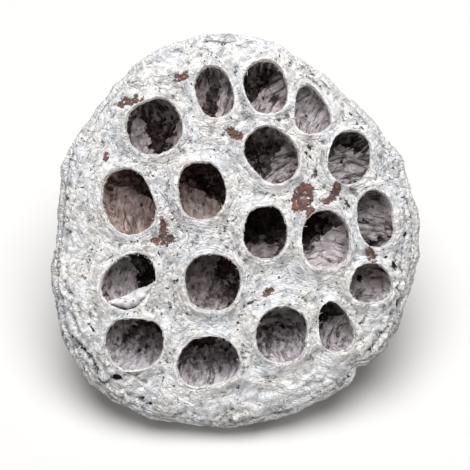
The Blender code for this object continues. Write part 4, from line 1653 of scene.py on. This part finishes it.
class LOTUS_OT_fibres(bpy.types.Operator):
    """Raises short torn fibres at the mouths of the pits and along the rim"""

    bl_idname = "lotus.fibres"
    bl_label = "Torn fibres"

    def execute(self, context):
        bits = context.scene.lotus_pod.bits
        strew("torn_fibres", torn_fibres_tree(), "limewashed_husk", "limewash_chalk", bits.fibre_density,
              bits.shortest_fibre, bits.longest_fibre, Thickness=bits.fibre_thickness)
        return {"FINISHED"}


class LOTUS_OT_stage(bpy.types.Operator):
    """Makes the floor, the soft light and the camera"""

    bl_idname = "lotus.stage"
    bl_label = "Stage"

    def execute(self, context):
        scene = context.scene
        stage = scene.lotus_pod.stage
        floor = new_object("floor", floor_mesh(FLOOR_HALF_WIDTH))
        material, tree, shader = new_material("floor", stage.floor_colour, 0.9, 0.1)
        shade = noise(place_in_mm(tree), 180.0)
        tone = mix_colours(shade, stage.floor_colour, tuple(0.985 * c for c in stage.floor_colour))
        tree.links.new(tone, shader.inputs["Base Color"])
        floor.data.materials.append(material)

        world = bpy.data.worlds.new("soft_white")
        world.use_nodes = True
        world.node_tree.nodes["Background"].inputs["Strength"].default_value = stage.sky
        world.node_tree.nodes["Background"].inputs["Color"].default_value = (*SKY_COLOUR, 1.0)
        scene.world = world
        add_area_light("overhead", KEY_PLACE, KEY_WIDTH, stage.key_power)
        add_area_light("fill", FILL_PLACE, FILL_WIDTH, stage.fill_power)

        target = Vector(to_frame([VIEW_TARGET])[0])
        back = Vector((0.0, -math.cos(stage.camera_height), math.sin(stage.camera_height)))
        camera = bpy.data.cameras.new("camera")
        camera.lens = camera.sensor_width * stage.camera_distance / stage.view_width
        camera.clip_start = 0.01
        camera.dof.use_dof = False
        view = new_object("camera", camera)
        view.location = target + back * stage.camera_distance
        view.rotation_euler = (-back).to_track_quat("-Z", "Y").to_euler()
        scene.camera = view
        scene.view_settings.view_transform = "Standard"
        return {"FINISHED"}


def floor_mesh(half):
    mesh = bpy.data.meshes.new("floor")
    corners = [(-half, -half, 0.0), (half, -half, 0.0), (half, half, 0.0), (-half, half, 0.0)]
    mesh.from_pydata(corners, [], [(0, 1, 2, 3)])
    return mesh


def add_area_light(name, place, width, power):
    light = bpy.data.lights.new(name, "AREA")
    light.shape = "DISK"
    light.size = width
    light.energy = power
    lamp = new_object(name, light)
    lamp.location = place
    lamp.rotation_euler = (Vector(LAMP_TARGET) - Vector(place)).to_track_quat("-Z", "Y").to_euler()


class LOTUS_PT_panel(bpy.types.Panel):
    """Lists the pod's pieces and settings"""

    bl_idname = "LOTUS_PT_panel"
    bl_label = "Dried lotus pod"
    bl_space_type = "VIEW_3D"
    bl_region_type = "UI"
    bl_category = "Lotus pod"

    def draw(self, context):
        for operator in OPERATORS:
            self.layout.operator(operator.bl_idname)
        settings = context.scene.lotus_pod
        for group in (settings.relief, settings.colours, settings.bits, settings.stage):
            box = self.layout.box()
            for name in group.__annotations__:
                box.prop(group, name)


OPERATORS = (
    LOTUS_OT_husk,
    LOTUS_OT_films,
    LOTUS_OT_fold,
    LOTUS_OT_crumbs,
    LOTUS_OT_shreds,
    LOTUS_OT_fibres,
    LOTUS_OT_stem_end,
    LOTUS_OT_stage,
)
SETTINGS = (ReliefSettings, ColourSettings, BitsSettings, StageSettings, PodSettings)
CLASSES = (*SETTINGS, *OPERATORS, LOTUS_PT_panel)


def register():
    for kind in CLASSES:
        bpy.utils.register_class(kind)
    bpy.types.Scene.lotus_pod = PointerProperty(type=PodSettings)


def unregister():
    del bpy.types.Scene.lotus_pod
    for kind in reversed(CLASSES):
        bpy.utils.unregister_class(kind)


def main():
    register()
    bpy.ops.lotus.husk()
    bpy.ops.lotus.films()
    bpy.ops.lotus.fold()
    bpy.ops.lotus.crumbs()
    bpy.ops.lotus.shreds()
    bpy.ops.lotus.fibres()
    bpy.ops.lotus.stem_end()
    bpy.ops.lotus.stage()


if __name__ == "__main__":
    main()
